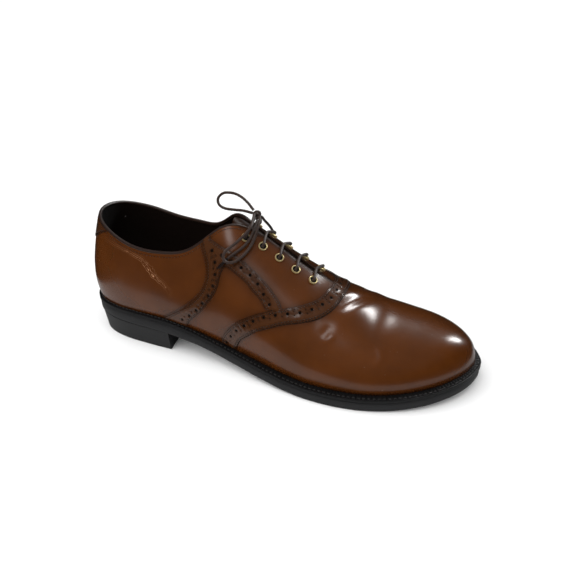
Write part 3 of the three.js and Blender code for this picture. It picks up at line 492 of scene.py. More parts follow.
def path_distance(points, path):
    """Distance of each point from a path and its share of the way along it."""
    lengths = distances(path)
    best = np.full(len(points), np.inf)
    share = np.zeros(len(points))
    for i in range(len(path) - 1):
        step = path[i + 1] - path[i]
        t = np.clip(((points - path[i]) @ step) / (step @ step), 0, 1)
        distance = np.linalg.norm(points - path[i] - t[:, None] * step, axis=1)
        nearer = distance < best
        best = np.where(nearer, distance, best)
        along = lengths[i] + t * (lengths[i + 1] - lengths[i])
        share = np.where(nearer, along / lengths[-1], share)
    return best, share


def smooth_path(points, count):
    """Evenly spaced points of a centripetal curve through the given ones."""
    p = np.asarray(points, float)
    p = np.vstack([2 * p[0] - p[1], p, 2 * p[-1] - p[-2]])
    t = np.r_[0, np.cumsum(np.linalg.norm(np.diff(p, axis=0), axis=1) ** 0.5)]
    pieces = []
    for i in range(1, len(p) - 2):
        u = np.linspace(t[i], t[i + 1], 24, endpoint=False)[:, None]
        a = [p[i - 1 + k] + (p[i + k] - p[i - 1 + k]) * (u - t[i - 1 + k])
             / (t[i + k] - t[i - 1 + k]) for k in range(3)]
        b = [a[k] + (a[k + 1] - a[k]) * (u - t[i - 1 + k]) / (t[i + 1 + k] - t[i - 1 + k])
             for k in range(2)]
        pieces.append(b[0] + (b[1] - b[0]) * (u - t[i]) / (t[i + 1] - t[i]))
    dense = np.vstack([*pieces, p[-2:-1]])
    length = distances(dense)
    even = np.linspace(0, length[-1], count)
    return np.stack([np.interp(even, length, dense[:, k]) for k in range(dense.shape[1])], -1)


CREASE_PATHS = [
    (rib_point(*spread(smooth_path(places, 24))), height, width)
    for places, height, width in CREASES
]


def crease_lift(points):
    """How far the worn leather stands over or under its smooth form."""
    flat = points.reshape(-1, 3)
    lift = np.zeros(len(flat))
    for path, height, width in CREASE_PATHS:
        near = near_path(flat, path, 4 * width)
        distance, share = path_distance(flat[near], path)
        fade = np.sin(np.pi * np.clip(share, 0.02, 0.98)) ** 0.7
        lift[near] += height * fade * np.exp(-(distance / width) ** 2)
    x, y, z = (flat / WAVE_LENGTHS).T
    waves = WAVE_HEIGHT * np.sin(x + 1.3 * np.sin(y)) * np.sin(z)
    return (lift + waves).reshape(points.shape[:-1])


def leather_point(section, height, lift=0.0):
    """Point off the creased leather, in the shoe's frame, in millimetres."""
    point = rib_point(section, height)
    rise = np.asarray(lift) + crease_lift(point)
    point = point + leather_normal(section, height) * rise[..., None]
    return point - [HEEL_LENGTH / 2, 0, 0]


def surface(places, lift=0.0):
    """Point off the leather at places counted over the crest."""
    return leather_point(*spread(places), lift)


def shifted(places, distance):
    """Places moved sideways by a distance in millimetres, to the left of their line's heading."""
    places = np.array(places, float)
    steps = max(1, math.ceil(abs(np.max(np.abs(distance))) / 2))
    heading = unit(np.gradient(surface(places), axis=0))
    for _ in range(steps):
        low = places.copy()
        high = places.copy()
        below = places[:, 1] <= 1
        raised, lowered = places[:, 1] + RISE_STEP, places[:, 1] - RISE_STEP
        high[:, 1] = np.where(below, np.minimum(raised, 1), raised)
        low[:, 1] = np.where(below, lowered, np.maximum(lowered, 1 + 1e-6))
        upward = (surface(high) - surface(low)) / (high - low)[:, 1:]
        step = np.array([SECTION_STEP, 0])
        along = (surface(places + step) - surface(places - step)) / (2 * SECTION_STEP)
        normal = unit(np.cross(along, upward))
        side = np.cross(normal, heading) * (np.asarray(distance) / steps).reshape(-1, 1)
        aa, ab, bb = (along * along).sum(1), (along * upward).sum(1), (upward * upward).sum(1)
        sa, sb = (side * along).sum(1), (side * upward).sum(1)
        whole = aa * bb - ab * ab
        places[:, 0] += (sa * bb - sb * ab) / whole
        places[:, 1] += (sb * aa - sa * ab) / whole
    return places


def place_line(rows, pitch):
    """Places along a smooth line, a true distance apart, in millimetres."""
    dense = smooth_path(np.array(rows) * PLACE_SCALE, 400) / PLACE_SCALE
    points = surface(dense)
    length = distances(points)
    even = np.linspace(0, length[-1], max(2, round(length[-1] / pitch) + 1))
    return np.stack([np.interp(even, length, dense[:, k]) for k in range(2)], -1)


def mirrored(rows):
    """The same places on the other side."""
    return [(section, 2 - height) for section, height in rows]


def over_ridge(rows):
    """A lateral line that ends on the vamp's ridge, carried on down the other side."""
    return rows + mirrored(rows)[-2::-1]


def make_mesh(name, points, faces, material_of_face=None, sharp=35, layers=None):
    """A mesh of points in millimetres, lists of faces of equal size and values at its points."""
    mesh = bpy.data.meshes.new(name)
    faces = [np.asarray(f, int) for f in faces if len(f)]
    loops = np.concatenate([f.ravel() for f in faces])
    sizes = np.concatenate([np.full(len(f), f.shape[1]) for f in faces])
    mesh.vertices.add(len(points))
    mesh.vertices.foreach_set("co", (np.asarray(points, float) * MM).ravel())
    mesh.loops.add(len(loops))
    mesh.loops.foreach_set("vertex_index", loops)
    mesh.polygons.add(len(sizes))
    mesh.polygons.foreach_set("loop_start", np.cumsum(sizes) - sizes)
    if material_of_face is not None:
        mesh.polygons.foreach_set("material_index", np.asarray(material_of_face, int))
    mesh.update(calc_edges=True)
    mesh.polygons.foreach_set("use_smooth", np.ones(len(sizes), bool))
    mesh.set_sharp_from_angle(angle=math.radians(sharp))
    for layer, values in (layers or {}).items():
        mesh.attributes.new(layer, "FLOAT", "POINT").data.foreach_set("value", values)
    return mesh


def add_piece(name, mesh, materials, replaced=()):
    """An object of the shoe, riding on its one body and standing for the solids that it replaces."""
    for material in materials:
        mesh.materials.append(material)
    piece = bpy.data.objects.new(name, mesh)
    bpy.context.scene.collection.objects.link(piece)
    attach(piece, "root")
    if replaced:
        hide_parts(*replaced)
    return piece


def used_points(points, faces):
    """The points that faces use, the faces renumbered to match, and the old numbers."""
    used = np.unique(np.concatenate([f.ravel() for f in faces]))
    renumber = np.full(len(points), -1)
    renumber[used] = np.arange(len(used))
    return points[used], [renumber[f] for f in faces], used


def wrapped(index):
    """A grid of point numbers with its first column again at the end."""
    return np.concatenate([index, index[:, :1]], 1)


def end_caps(index):
    """Triangles over the first and the last ring of a grid of point numbers."""
    k = np.arange(1, index.shape[1] - 1)
    first, last = index[0], index[-1]
    return np.vstack([np.stack([np.full(len(k), first[0]), first[k], first[k + 1]], 1),
                      np.stack([np.full(len(k), last[0]), last[k + 1], last[k]], 1)])


def grid_faces(index, close_columns=False):
    """Quads between the columns and rows of a grid of point numbers, without collapsed ones."""
    a = index
    b = np.roll(index, -1, axis=0)
    if not close_columns:
        a, b = a[:-1], b[:-1]
    quads = np.stack([a[:, :-1], b[:, :-1], b[:, 1:], a[:, 1:]], -1).reshape(-1, 4)
    same = [quads[:, k] == quads[:, (k + 1) % 4] for k in range(4)]
    whole = ~np.any(same, axis=0)
    corners = []
    for k in range(4):
        lost = same[k] & ~same[(k + 2) % 4]
        corners.append(np.delete(quads[lost], (k + 1) % 4, axis=1))
    return quads[whole], np.vstack(corners)


def shell_mesh(name, columns_per_section, rows, outer, inner, rim_rows=3, layers=None):
    """A skin all round the last between two lifts, with a rounded rim along collar and facings."""
    columns = RING * columns_per_section
    toe = TOE * columns_per_section
    section = np.arange(columns) / columns_per_section
    closed = np.abs(section - TOE) <= TOE - CLOSED + 1e-9
    heights = np.linspace(0, 1, rows + 1)
    outside = leather_point(section[:, None], heights[None], outer)
    inside = leather_point(section[:, None], heights[None], inner)
    numbers = np.arange(columns * (rows + 1)).reshape(columns, rows + 1)
    welded = numbers.copy()
    for j in range(columns):
        if closed[j] and j > toe:
            welded[j, rows] = welded[columns - j, rows]
    welded[toe, 1:] = welded[toe, 0]
    total = columns * (rows + 1)
    quads, triangles = grid_faces(welded, True)
    inner_quads, inner_triangles = grid_faces(welded[::-1] + total, True)
    faces = [quads, triangles, inner_quads, inner_triangles]
    points = [outside.reshape(-1, 3), inside.reshape(-1, 3)]
    next_number = 2 * total
    faces.append(grid_faces(np.stack([welded[:, 0] + total, welded[:, 0]], 1), True)[0])
    column = np.arange(columns)
    first_closed = column[closed & (column < toe)].min()
    open_columns = np.r_[columns - first_closed, column[~closed & (column > toe)],
                         column[~closed & (column < toe)], first_closed]
    top_out = outside[open_columns, rows]
    top_in = inside[open_columns, rows]
    middle = (top_out + top_in) / 2
    radius = (top_out - top_in) / 2
    upward = rib_point(section[open_columns], 1.0) - rib_point(section[open_columns], 0.98)
    upward = unit(upward) * np.linalg.norm(radius, axis=1, keepdims=True)
    rim = [welded[open_columns, rows]]
    for i in range(1, rim_rows + 1):
        angle = math.pi * i / (rim_rows + 1)
        ring = middle + radius * math.cos(angle) + upward * math.sin(angle)
        for end in (0, -1):
            ring[end] = middle[end] + radius[end] * math.cos(angle)
        points.append(ring)
        rim.append(next_number + np.arange(len(ring)))
        next_number += len(ring)
    rim.append(welded[open_columns, rows] + total)
    quads, triangles = grid_faces(np.stack(rim, 1))
    faces += [quads, triangles]
    points = np.vstack(points)
    kept, faces, used = used_points(points, faces)
    values = {key: function(points)[used] for key, function in (layers or {}).items()}
    return make_mesh(name, kept, faces, layers=values), kept


def inside_loop(points, loop):
    """Whether each point lies inside a closed loop."""
    x, y = points[:, 0], points[:, 1]
    inside = np.zeros(len(points), bool)
    for (x0, y0), (x1, y1) in zip(loop, np.roll(loop, -1, axis=0)):
        crosses = (y0 > y) != (y1 > y)
        with np.errstate(divide="ignore", invalid="ignore"):
            inside ^= crosses & (x < (x1 - x0) * (y - y0) / (y1 - y0) + x0)
    return inside


def hole_loop(centre, diameter, sides):
    """A round hole's places at a place on the leather."""
    centre = np.asarray(centre, float)
    step = np.array([SECTION_STEP, 0])
    along = (surface(centre + step) - surface(centre - step)) / (2 * SECTION_STEP)
    rise = RISE_STEP if centre[1] <= 1 else -RISE_STEP
    upward = (surface(centre) - surface(centre - [0, rise])) / rise
    angles = circle(sides)
    east = along / np.linalg.norm(along)
    north = upward - east * (upward @ east)
    north /= np.linalg.norm(north)
    offsets = diameter / 2 * (np.cos(angles)[:, None] * east + np.sin(angles)[:, None] * north)
    metric = np.linalg.pinv(np.stack([along, upward], 1))
    return centre + offsets @ metric.T


def gimped(line, depth, pitch):
    """A line with a row of small teeth, to the left of its heading."""
    even = place_line(line, pitch / 2)
    outward = np.where(np.arange(len(even)) % 2 == 0, depth / 2, -depth / 2)
    outward[0] = outward[-1] = 0
    return shifted(even, outward)


def punched_sheet(outline, holes, top, floor_lift=0.1, bottom=-0.2, mesh_size=1.5):
    """Points and faces of a leather strip with holes: its top, its underside and the hole floors."""
    loops = [np.asarray(outline)] + [np.asarray(h) for h in holes]
    low, high = loops[0].min(0), loops[0].max(0)
    xs = np.arange(low[0], high[0], mesh_size / PLACE_SCALE[0])
    ys = np.arange(low[1], high[1], mesh_size / PLACE_SCALE[1])
    inner = np.stack(np.meshgrid(xs, ys, indexing="ij"), -1).reshape(-1, 2)
    inner = inner[inside_loop(inner, loops[0])]
    near = np.full(len(inner), np.inf)
    for loop in loops:
        for part in np.array_split(loop, max(1, len(loop) // 40)):
            gaps = np.linalg.norm((inner[:, None] - part[None]) * PLACE_SCALE, axis=2).min(1)
            near = np.minimum(near, gaps)
    inner = inner[near > mesh_size / 2]
    vertices, edges, start = [], [], 0
    for loop in loops:
        count = len(loop)
        vertices.append(loop)
        edges += [(start + i, start + (i + 1) % count) for i in range(count)]
        start += count
    vertices = np.vstack([*vertices, inner])
    flat = [Vector(p) for p in vertices * PLACE_SCALE]
    out, _, triangles, *_ = delaunay_2d_cdt(flat, edges, [], 1, 1e-5)
    places = np.array([p[:] for p in out]) / PLACE_SCALE
    triangles = np.array([t[:] for t in triangles if len(t) == 3])
    centres = places[triangles].mean(1)
    triangles = triangles[inside_loop(centres, loops[0])]
    centres = places[triangles].mean(1)
    in_hole = np.zeros(len(triangles), bool)
    for hole in loops[1:]:
        low, high = hole.min(0), hole.max(0)
        near = np.all((centres > low) & (centres < high), axis=1)
        in_hole[near] |= inside_loop(centres[near], hole)
    corner = places[triangles]
    turn = np.cross(corner[:, 1] - corner[:, 0], corner[:, 2] - corner[:, 0])
    triangles[turn < 0] = triangles[turn < 0][:, ::-1]
    on_top = triangles[~in_hole]
    headings = np.vstack([on_top[:, [0, 1]], on_top[:, [1, 2]], on_top[:, [2, 0]]])
    pairs = np.sort(headings, axis=1)
    _, first, counts = np.unique(pairs, axis=0, return_index=True, return_counts=True)
    rim = headings[first[counts == 1]]
    on_rim = np.zeros(len(places), bool)
    on_rim[rim] = True
    floor = np.zeros(len(places), bool)
    floor[triangles[in_hole]] = True
    points_top = surface(places, np.where(on_rim, top - BAND_EDGE_DROP, top))
    points_low = surface(places, np.where(floor, floor_lift, bottom))
    count = len(places)
    walls = np.stack([rim[:, 1], rim[:, 0], rim[:, 0] + count, rim[:, 1] + count], 1)
    faces = [on_top, triangles[:, ::-1][~in_hole] + count, triangles[in_hole] + count, walls]
    kinds = np.concatenate([np.full(len(f), k) for f, k in zip(faces, (0, 0, 1, 2))])
    points, faces, used = used_points(np.vstack([points_top, points_low]), faces)
    edge = np.r_[on_rim.astype(float), np.ones(count)]
    return points, faces, kinds, edge[used]


def stitch_template(length, thickness, sides=6):
    """Points and faces of one stitch that dives into the leather at both ends."""
    shares = np.array([-1, -0.72, -0.25, 0.25, 0.72, 1])
    widths = np.array([0.25, 0.8, 1, 1, 0.8, 0.25])
    sinks = np.array([-0.9, -0.15, 0.1, 0.1, -0.15, -0.9])
    angle = circle(sides)
    rings = [np.stack([np.full(sides, share * length / 2), width * thickness / 2 * np.cos(angle),
                       (width * np.sin(angle) + sink) * thickness / 2], -1)
             for share, width, sink in zip(shares, widths, sinks)]
    points = np.vstack(rings)
    index = np.arange(len(points)).reshape(len(shares), sides)
    return points, grid_faces(wrapped(index))[0][:, ::-1], end_caps(index)


def stitch_row(points, normals, length, thickness):
    """Stitches centred between the points of a line, as one set of points and faces."""
    template, quads, caps = stitch_template(length, thickness)
    centres = (points[:-1] + points[1:]) / 2
    heading = unit(np.diff(points, axis=0))
    normal = (normals[:-1] + normals[1:]) / 2
    normal = unit(normal - heading * (normal * heading).sum(1, keepdims=True))
    axes = np.stack([heading, np.cross(normal, heading), normal], 1)
    made = centres[:, None] + np.einsum("pk,nkc->npc", template, axes)
    shift = (np.arange(len(centres)) * len(template))[:, None, None]
    return made.reshape(-1, 3), (quads + shift).reshape(-1, 4), (caps + shift).reshape(-1, 3)


def seam(line, offset, lift, pitch, length, thickness):
    """A row of stitches beside a line on the leather."""
    even = shifted(place_line(line, pitch), offset) if offset else place_line(line, pitch)
    return stitch_row(surface(even, lift), leather_normal(*spread(even)), length, thickness)


def join_parts(parts):
    """Several sets of points, quads and triangles as one."""
    points, quads, triangles, start = [], [], [], 0
    for part, four, three in parts:
        points.append(part)
        quads.append(four + start)
        triangles.append(three + start)
        start += len(part)
    return np.vstack(points), np.vstack(quads), np.vstack(triangles)


def tube(path, radius, sides=14, braid=0.0, pitch=2.6, taper=0.0):
    """Points and faces of a closed round cord along an even path, braided if asked."""
    heading = unit(np.gradient(path, axis=0))
    across = np.cross(heading[0], [0, 0, 1])
    if np.linalg.norm(across) < 0.1:
        across = np.cross(heading[0], [1, 0, 0])
    across /= np.linalg.norm(across)
    frames = []
    for direction in heading:
        across = across - direction * (across @ direction)
        across /= np.linalg.norm(across)
        frames.append(across)
    east = np.array(frames)
    north = np.cross(heading, east)
    distance = distances(path)
    angle = circle(sides)
    turn = 2 * np.pi * distance[:, None] / pitch
    weave = np.abs(np.sin(2 * angle + turn / 2) * np.sin(2 * angle - turn / 2))
    size = radius * (1 - braid + 2 * braid * weave)
    if taper:
        ends = np.minimum(distance, distance[-1] - distance)
        size = size * (1 - taper + taper * smooth_step(ends, 0, 2 * radius))[:, None]
    spokes = (np.cos(angle)[None, :, None] * east[:, None]
              + np.sin(angle)[None, :, None] * north[:, None])
    rings = path[:, None] + size[..., None] * spokes
    points = np.vstack([rings.reshape(-1, 3), path[:1], path[-1:]])
    index = np.arange(len(path) * sides).reshape(len(path), sides)
    quads = grid_faces(wrapped(index))[0][:, ::-1]
    start, end = len(points) - 2, len(points) - 1
    around = np.roll(np.arange(sides), -1)
    caps = [np.stack([np.full(sides, start), index[0], index[0][around]], 1)[:, ::-1],
            np.stack([np.full(sides, end), index[-1], index[-1][around]], 1)]
    return points, quads, np.vstack(caps)


def add_node(tree, kind, settings=None, links=None):
    """Adds a shader node with its properties and inputs set, and linked from other sockets."""
    node = tree.nodes.new(kind)
    for key, value in (settings or {}).items():
        if isinstance(key, str) and hasattr(node, key):
            setattr(node, key, value)
        else:
            node.inputs[key].default_value = value
    for key, source in (links or {}).items():
        tree.links.new(source, node.inputs[key])
    return node


def start_material(name, settings):
    """A material with its shader's own values set, its node tree, shader and place coordinates."""
    material = bpy.data.materials.new(name)
    material.use_nodes = True
    tree = material.node_tree
    shader = tree.nodes["Principled BSDF"]
    for key, value in settings.items():
        shader.inputs[key].default_value = value
    place = tree.nodes.new("ShaderNodeTexCoord").outputs["Object"]
    return material, tree, shader, place


def link_shader(tree, shader, sources):
    """Links sockets to the shader's inputs."""
    for key, source in sources.items():
        tree.links.new(source, shader.inputs[key])


def opaque(colour):
    """A colour with full alpha."""
    return (*colour, 1.0)


def polished_calf(name, colour, deep, worn):
    """Calf dyed and waxed: warm brown with darker clouds, painted shade from its shade layer, fine
    pores, a clear sheen.
    """
    material, tree, shader, place = start_material(name, {
        "Roughness": 0.36, "IOR": 1.45, "Coat Weight": 0.35, "Coat Roughness": 0.22,
    })
    mottle = add_node(tree, "ShaderNodeTexNoise", {"Scale": 1 / (22 * MM), "Detail": 4},
                      {"Vector": place})
    cloud = add_node(tree, "ShaderNodeMapRange", {"From Min": 0.35, "From Max": 0.7, "To Max": 0.3},
                     {"Value": mottle.outputs["Fac"]})
    base = add_node(tree, "ShaderNodeMix", {"data_type": "RGBA", 6: opaque(colour), 7: opaque(deep)},
                    {0: cloud.outputs["Result"]})
    # Painted shade: the shade layer darkens the calf towards its deep colour near the welt, the bands'
    # edges, the holes and the slot
    shade = add_node(tree, "ShaderNodeAttribute", {"attribute_name": "shade"})
    painted_shade_mix = add_node(tree, "ShaderNodeMix", {"data_type": "RGBA", 7: opaque(deep)},
                      {0: shade.outputs["Fac"], 6: base.outputs[2]})
    tone = painted_shade_mix.outputs[2]
    pores = add_node(tree, "ShaderNodeTexVoronoi", {"Scale": 1 / (0.9 * MM), "feature": "SMOOTH_F1"},
                     {"Vector": place})
    fine = add_node(tree, "ShaderNodeTexNoise", {"Scale": 1 / (2.5 * MM), "Detail": 5},
                    {"Vector": place})
    grain = add_node(tree, "ShaderNodeMath", {"operation": "MULTIPLY_ADD", 1: 0.5},
                     {0: pores.outputs["Distance"], 2: fine.outputs["Fac"]})
    if worn:
        tone = add_scuffs(tree, tone, worn)
    relief = add_node(tree, "ShaderNodeBump", {"Strength": 0.08, "Distance": 0.04 * MM},
                      {"Height": grain.outputs["Value"]})
    dull = add_node(tree, "ShaderNodeMapRange", {"To Min": 0.2, "To Max": 0.3},
                    {"Value": fine.outputs["Fac"]})
    link_shader(tree, shader, {"Base Color": tone, "Roughness": dull.outputs["Result"],
                               "Normal": relief.outputs["Normal"]})
    return material


def add_scuffs(tree, tone, worn):
    """Mixes thin paler streaks into a colour, along the lines given by a scuff's own coordinates."""
    lines = add_node(tree, "ShaderNodeUVMap", {"uv_map": "lines"})
    parts = add_node(tree, "ShaderNodeSeparateXYZ", links={0: lines.outputs["UV"]})
    waver = add_node(tree, "ShaderNodeTexNoise", {"noise_dimensions": "1D", "Scale": 0.16},
                     {"W": parts.outputs["X"]})
    across = add_node(tree, "ShaderNodeMath", {"operation": "MULTIPLY_ADD", 1: 3.0},
                      {0: waver.outputs["Fac"], 2: parts.outputs["Y"]})
    broken = add_node(tree, "ShaderNodeTexNoise", {"noise_dimensions": "1D", "Scale": 0.35},
                      {"W": parts.outputs["X"]})
    fade = add_node(tree, "ShaderNodeAttribute", {"attribute_name": "scuff"})
    for place, width, strength in SCUFF_STREAKS:
        off = add_node(tree, "ShaderNodeMath", {"operation": "SUBTRACT", 1: place},
                       {0: across.outputs["Value"]})
        away = add_node(tree, "ShaderNodeMath", {"operation": "ABSOLUTE"}, {0: off.outputs["Value"]})
        streak = add_node(tree, "ShaderNodeMapRange", {
            "From Min": 0.0, "From Max": width, "To Min": strength, "To Max": 0.0,
        }, {"Value": away.outputs["Value"]})
        kept = add_node(tree, "ShaderNodeMath", {"operation": "MULTIPLY"},
                        {0: streak.outputs["Result"], 1: broken.outputs["Fac"]})
        amount = add_node(tree, "ShaderNodeMath", {"operation": "MULTIPLY"},
                          {0: kept.outputs["Value"], 1: fade.outputs["Fac"]})
        mixed = add_node(tree, "ShaderNodeMix", {"data_type": "RGBA", 7: opaque(worn)},
                         {0: amount.outputs["Value"], 6: tone})
        tone = mixed.outputs[2]
    return tone


def plain_leather(name, colour, roughness, coat):
    """Lining or edge leather: darker and flatter than the polished calf, with a low soft grain."""
    material, tree, shader, place = start_material(name, {
        "Roughness": roughness, "Coat Weight": coat, "Coat Roughness": 0.3,
    })
    noise = add_node(tree, "ShaderNodeTexNoise", {"Scale": 1 / (4 * MM), "Detail": 6},
                     {"Vector": place})
    tone = add_node(tree, "ShaderNodeMix", {
        "data_type": "RGBA", 6: opaque(c * 0.7 for c in colour), 7: opaque(c * 1.35 for c in colour),
    }, {0: noise.outputs["Fac"]})
    relief = add_node(tree, "ShaderNodeBump", {"Strength": 0.4, "Distance": 0.08 * MM},
                      {"Height": noise.outputs["Fac"]})
    link_shader(tree, shader, {"Base Color": tone.outputs[2], "Normal": relief.outputs["Normal"]})
    return material


def moulded_rubber(name, colour, roughness):
    """Moulded black rubber: nearly neutral, a satin skin with a fine dust of wear."""
    material, tree, shader, place = start_material(name, {
        "Roughness": roughness, "Specular IOR Level": 0.3,
    })
    fine = add_node(tree, "ShaderNodeTexNoise", {"Scale": 1 / (0.7 * MM), "Detail": 3},
                    {"Vector": place})
    broad = add_node(tree, "ShaderNodeTexNoise", {"Scale": 1 / (16 * MM), "Detail": 5},
                     {"Vector": place})
    tone = add_node(tree, "ShaderNodeMix", {
        "data_type": "RGBA", 6: opaque(c * 0.7 for c in colour), 7: opaque(c * 1.5 for c in colour),
    }, {0: broad.outputs["Fac"]})
    relief = add_node(tree, "ShaderNodeBump", {"Strength": 0.25, "Distance": 0.05 * MM},
                      {"Height": fine.outputs["Fac"]})
    dull = add_node(tree, "ShaderNodeMapRange", {"To Min": roughness - 0.1, "To Max": roughness + 0.12},
                    {"Value": broad.outputs["Fac"]})
    link_shader(tree, shader, {"Base Color": tone.outputs[2], "Roughness": dull.outputs["Result"],
                               "Normal": relief.outputs["Normal"]})
    return material


def rolled_brass(name, colour):
    """Stamped and tumbled brass: bright on its crown, with brown tarnish in patches.

    It is set a little short of full metal, so that the rings come out as pale as in the photograph.
    """
    material, tree, shader, place = start_material(name, {"Metallic": 0.8, "Roughness": 0.4})
    noise = add_node(tree, "ShaderNodeTexNoise", {"Scale": 1 / (1.6 * MM), "Detail": 4},
                     {"Vector": place})
    tarnish = add_node(tree, "ShaderNodeMapRange", {"From Min": 0.45, "From Max": 0.75, "To Max": 0.35},
                       {"Value": noise.outputs["Fac"]})
    tone = add_node(tree, "ShaderNodeMix", {
        "data_type": "RGBA", 6: opaque(colour), 7: opaque(c * 0.3 for c in colour),
    }, {0: tarnish.outputs["Result"]})
    dull = add_node(tree, "ShaderNodeMapRange", {"To Min": 0.3, "To Max": 0.5},
                    {"Value": noise.outputs["Fac"]})
    link_shader(tree, shader, {"Base Color": tone.outputs[2], "Roughness": dull.outputs["Result"]})
    return material


def waxed_cotton(name, colour, roughness=0.5):
    """Braided cotton drawn through wax: dark strands with a low sheen on each."""
    material, tree, shader, place = start_material(name, {
        "Roughness": roughness, "Sheen Weight": 0.1, "Sheen Roughness": 0.4,
    })
    strand = add_node(tree, "ShaderNodeTexNoise", {"Scale": 1 / (0.5 * MM), "Detail": 2},
                      {"Vector": place})
    tone = add_node(tree, "ShaderNodeMix", {
        "data_type": "RGBA", 6: opaque(c * 0.55 for c in colour), 7: opaque(c * 1.5 for c in colour),
    }, {0: strand.outputs["Fac"]})
    relief = add_node(tree, "ShaderNodeBump", {"Strength": 0.4, "Distance": 0.06 * MM},
                      {"Height": strand.outputs["Fac"]})
    link_shader(tree, shader, {"Base Color": tone.outputs[2], "Normal": relief.outputs["Normal"]})
    return material


def shade_of(colour, share):
    """A darker shade of a colour."""
    return [channel * share for channel in colour]


def finish_of(name):
    """One of the shoe's materials, made once."""
    colours = bpy.context.scene.brogue_colours
    makers = {
        "polished_calf": (polished_calf, colours.calf, colours.calf_deep_and_shade, colours.calf_scuffed),
        "band_calf": (polished_calf, colours.band, colours.calf_deep_and_shade, None),
        # The tongue is painted dark, a painted shade for the narrow gap between the facings
        "tongue_calf": (plain_leather, shade_of(colours.band, 0.3), 0.6, 0.05),
        "binding_leather": (plain_leather, colours.binding, 0.42, 0.2),
        "matt_lining_leather": (plain_leather, colours.lining, 0.6, 0.05),
        # Dark cut edges of the bands; the same dark leather makes the painted shadow under their edges
        "cut_edge_leather": (plain_leather, shade_of(colours.band, 0.16), 0.75, 0),
        "hole_shadow_leather": (plain_leather, linear(HOLE_SHADOW_COLOUR), 0.9, 0),
        "moulded_sole_rubber": (moulded_rubber, colours.rubber, 0.5),
        "welt_rubber": (moulded_rubber, shade_of(colours.rubber, 0.4), 0.42),
        "rolled_eyelet_brass": (rolled_brass, colours.brass),
        "waxed_lace_cotton": (waxed_cotton, colours.lace),
        "aglet_plastic": (moulded_rubber, linear(AGLET_COLOUR), 0.3),
        "seam_thread": (waxed_cotton, colours.thread, 0.6),
        "welt_thread": (waxed_cotton, linear(WELT_THREAD_COLOUR), 0.45),
    }
    maker, *values = makers[name]
    return bpy.data.materials.get(name) or maker(name, *values)


def sizes():
    """The trim's sizes in millimetres."""
    group = bpy.context.scene.brogue_sizes
    return {key: getattr(group, key) / MM for key in BrogueSizes.__annotations__}


def seam_shade(points):
    """Painted shade on the leather: darker near the welt, beside the bands and along the slot's edges,
    where the parts shade it.
    """
    shoe = points + [HEEL_LENGTH / 2, 0, 0]
    above = shoe[:, 2] - feather_height(shoe[:, 0])
    shade = 0.8 * np.exp(-np.maximum(above, 0) / 1.8)
    for line in (*FORK_LINES, THROAT_OVER, THROAT_UNDER):
        for rows in (line, mirrored(line)):
            path = surface(smooth_path(rows, 40))
            near = near_path(points, path, 8)
            distance, _ = path_distance(points[near], path)
            shade[near] = np.maximum(shade[near], 0.7 * np.exp(-distance / 2.2))
    for side in (1, -1):
        path = leather_point(side * np.linspace(*SLOT_EDGE, 40), 1.0)
        near = near_path(points, path, 6)
        distance, _ = path_distance(points[near], path)
        shade[near] = np.maximum(shade[near], np.exp(-(distance / 2.6) ** 2))
    return shade


class BROGUE_OT_upper(Operator):
    """Builds the upper's polished calf with its creases, and the lining inside it"""

    bl_idname = "brogue.add_upper"
    bl_label = "Upper and lining"

    def execute(self, context):
        # The shade layer holds painted shade near the welt, the bands and the slot
        mesh, points = shell_mesh("upper_calf", 16, 84, 0, -LEATHER_THICKNESS,
                                  layers={"shade": seam_shade})
        path = surface(smooth_path(SCUFF, 60))
        distance, share = path_distance(points, path)
        length = np.linalg.norm(np.diff(path, axis=0), axis=1).sum()
        middle = 0.3 + 0.9 * np.exp(-((share - SCUFF_PALEST) / 0.2) ** 2)
        tips = np.sin(np.pi * np.clip(share, 0.03, 0.97)) ** 0.6
        fade = middle * np.exp(-(distance / SCUFF_REACH) ** 2) * tips
        fade[points[:, 1] > 0] = 0
        nearest = path[np.clip((share * (len(path) - 1)).round().astype(int), 0, len(path) - 1)]
        side = np.sign((points - nearest)[:, 2] + 0.3 * (points - nearest)[:, 0])
        mesh.attributes.new("scuff", "FLOAT", "POINT").data.foreach_set("value", fade)
        lines = np.stack([share * length, side * distance], -1)
        numbers = np.empty(len(mesh.loops), int)
        mesh.loops.foreach_get("vertex_index", numbers)
        mesh.uv_layers.new(name="lines").data.foreach_set("uv", lines[numbers].ravel())
        add_piece("upper_calf", mesh, [finish_of("polished_calf")], ["upper"])
        mesh, _ = shell_mesh("upper_lining", 8, 40, -LEATHER_THICKNESS - 0.05, -WALL)
        add_piece("upper_lining", mesh, [finish_of("matt_lining_leather")], ["upper"])
        return {"FINISHED"}


class BROGUE_OT_binding(Operator):
    """Rolls the binding over the collar's edge"""

    bl_idname = "brogue.add_binding"
    bl_label = "Collar binding"

    def execute(self, context):
        section = np.linspace(-BINDING_END, BINDING_END, 420)
        centre = leather_point(section, 1.0, -WALL / 2)
        normal = leather_normal(section, 1.0)
        heading = unit(np.gradient(centre, axis=0))
        normal = unit(normal - heading * (normal * heading).sum(1, keepdims=True))
        upward = np.cross(heading, normal)
        upward *= np.sign(upward[:, 2:])
        sides = 14
        angle = circle(sides)
        ends = np.minimum(section - section[0], section[-1] - section)
        size = (0.55 + 0.45 * smooth_step(ends, 0, 0.5))[:, None, None]
        across = 1.35 * np.cos(angle)[None, :, None] * normal[:, None]
        rise = (1.15 * np.sin(angle) - 0.1)[None, :, None] * upward[:, None]
        rings = centre[:, None] + size * (across + rise)
        index = np.arange(len(section) * sides).reshape(len(section), sides)
        faces = [grid_faces(wrapped(index))[0], end_caps(index)]
        mesh = make_mesh("collar_binding", rings.reshape(-1, 3), faces, sharp=60)
        turn_outwards(mesh)
        add_piece("collar_binding", mesh, [finish_of("binding_leather")])
        return {"FINISHED"}


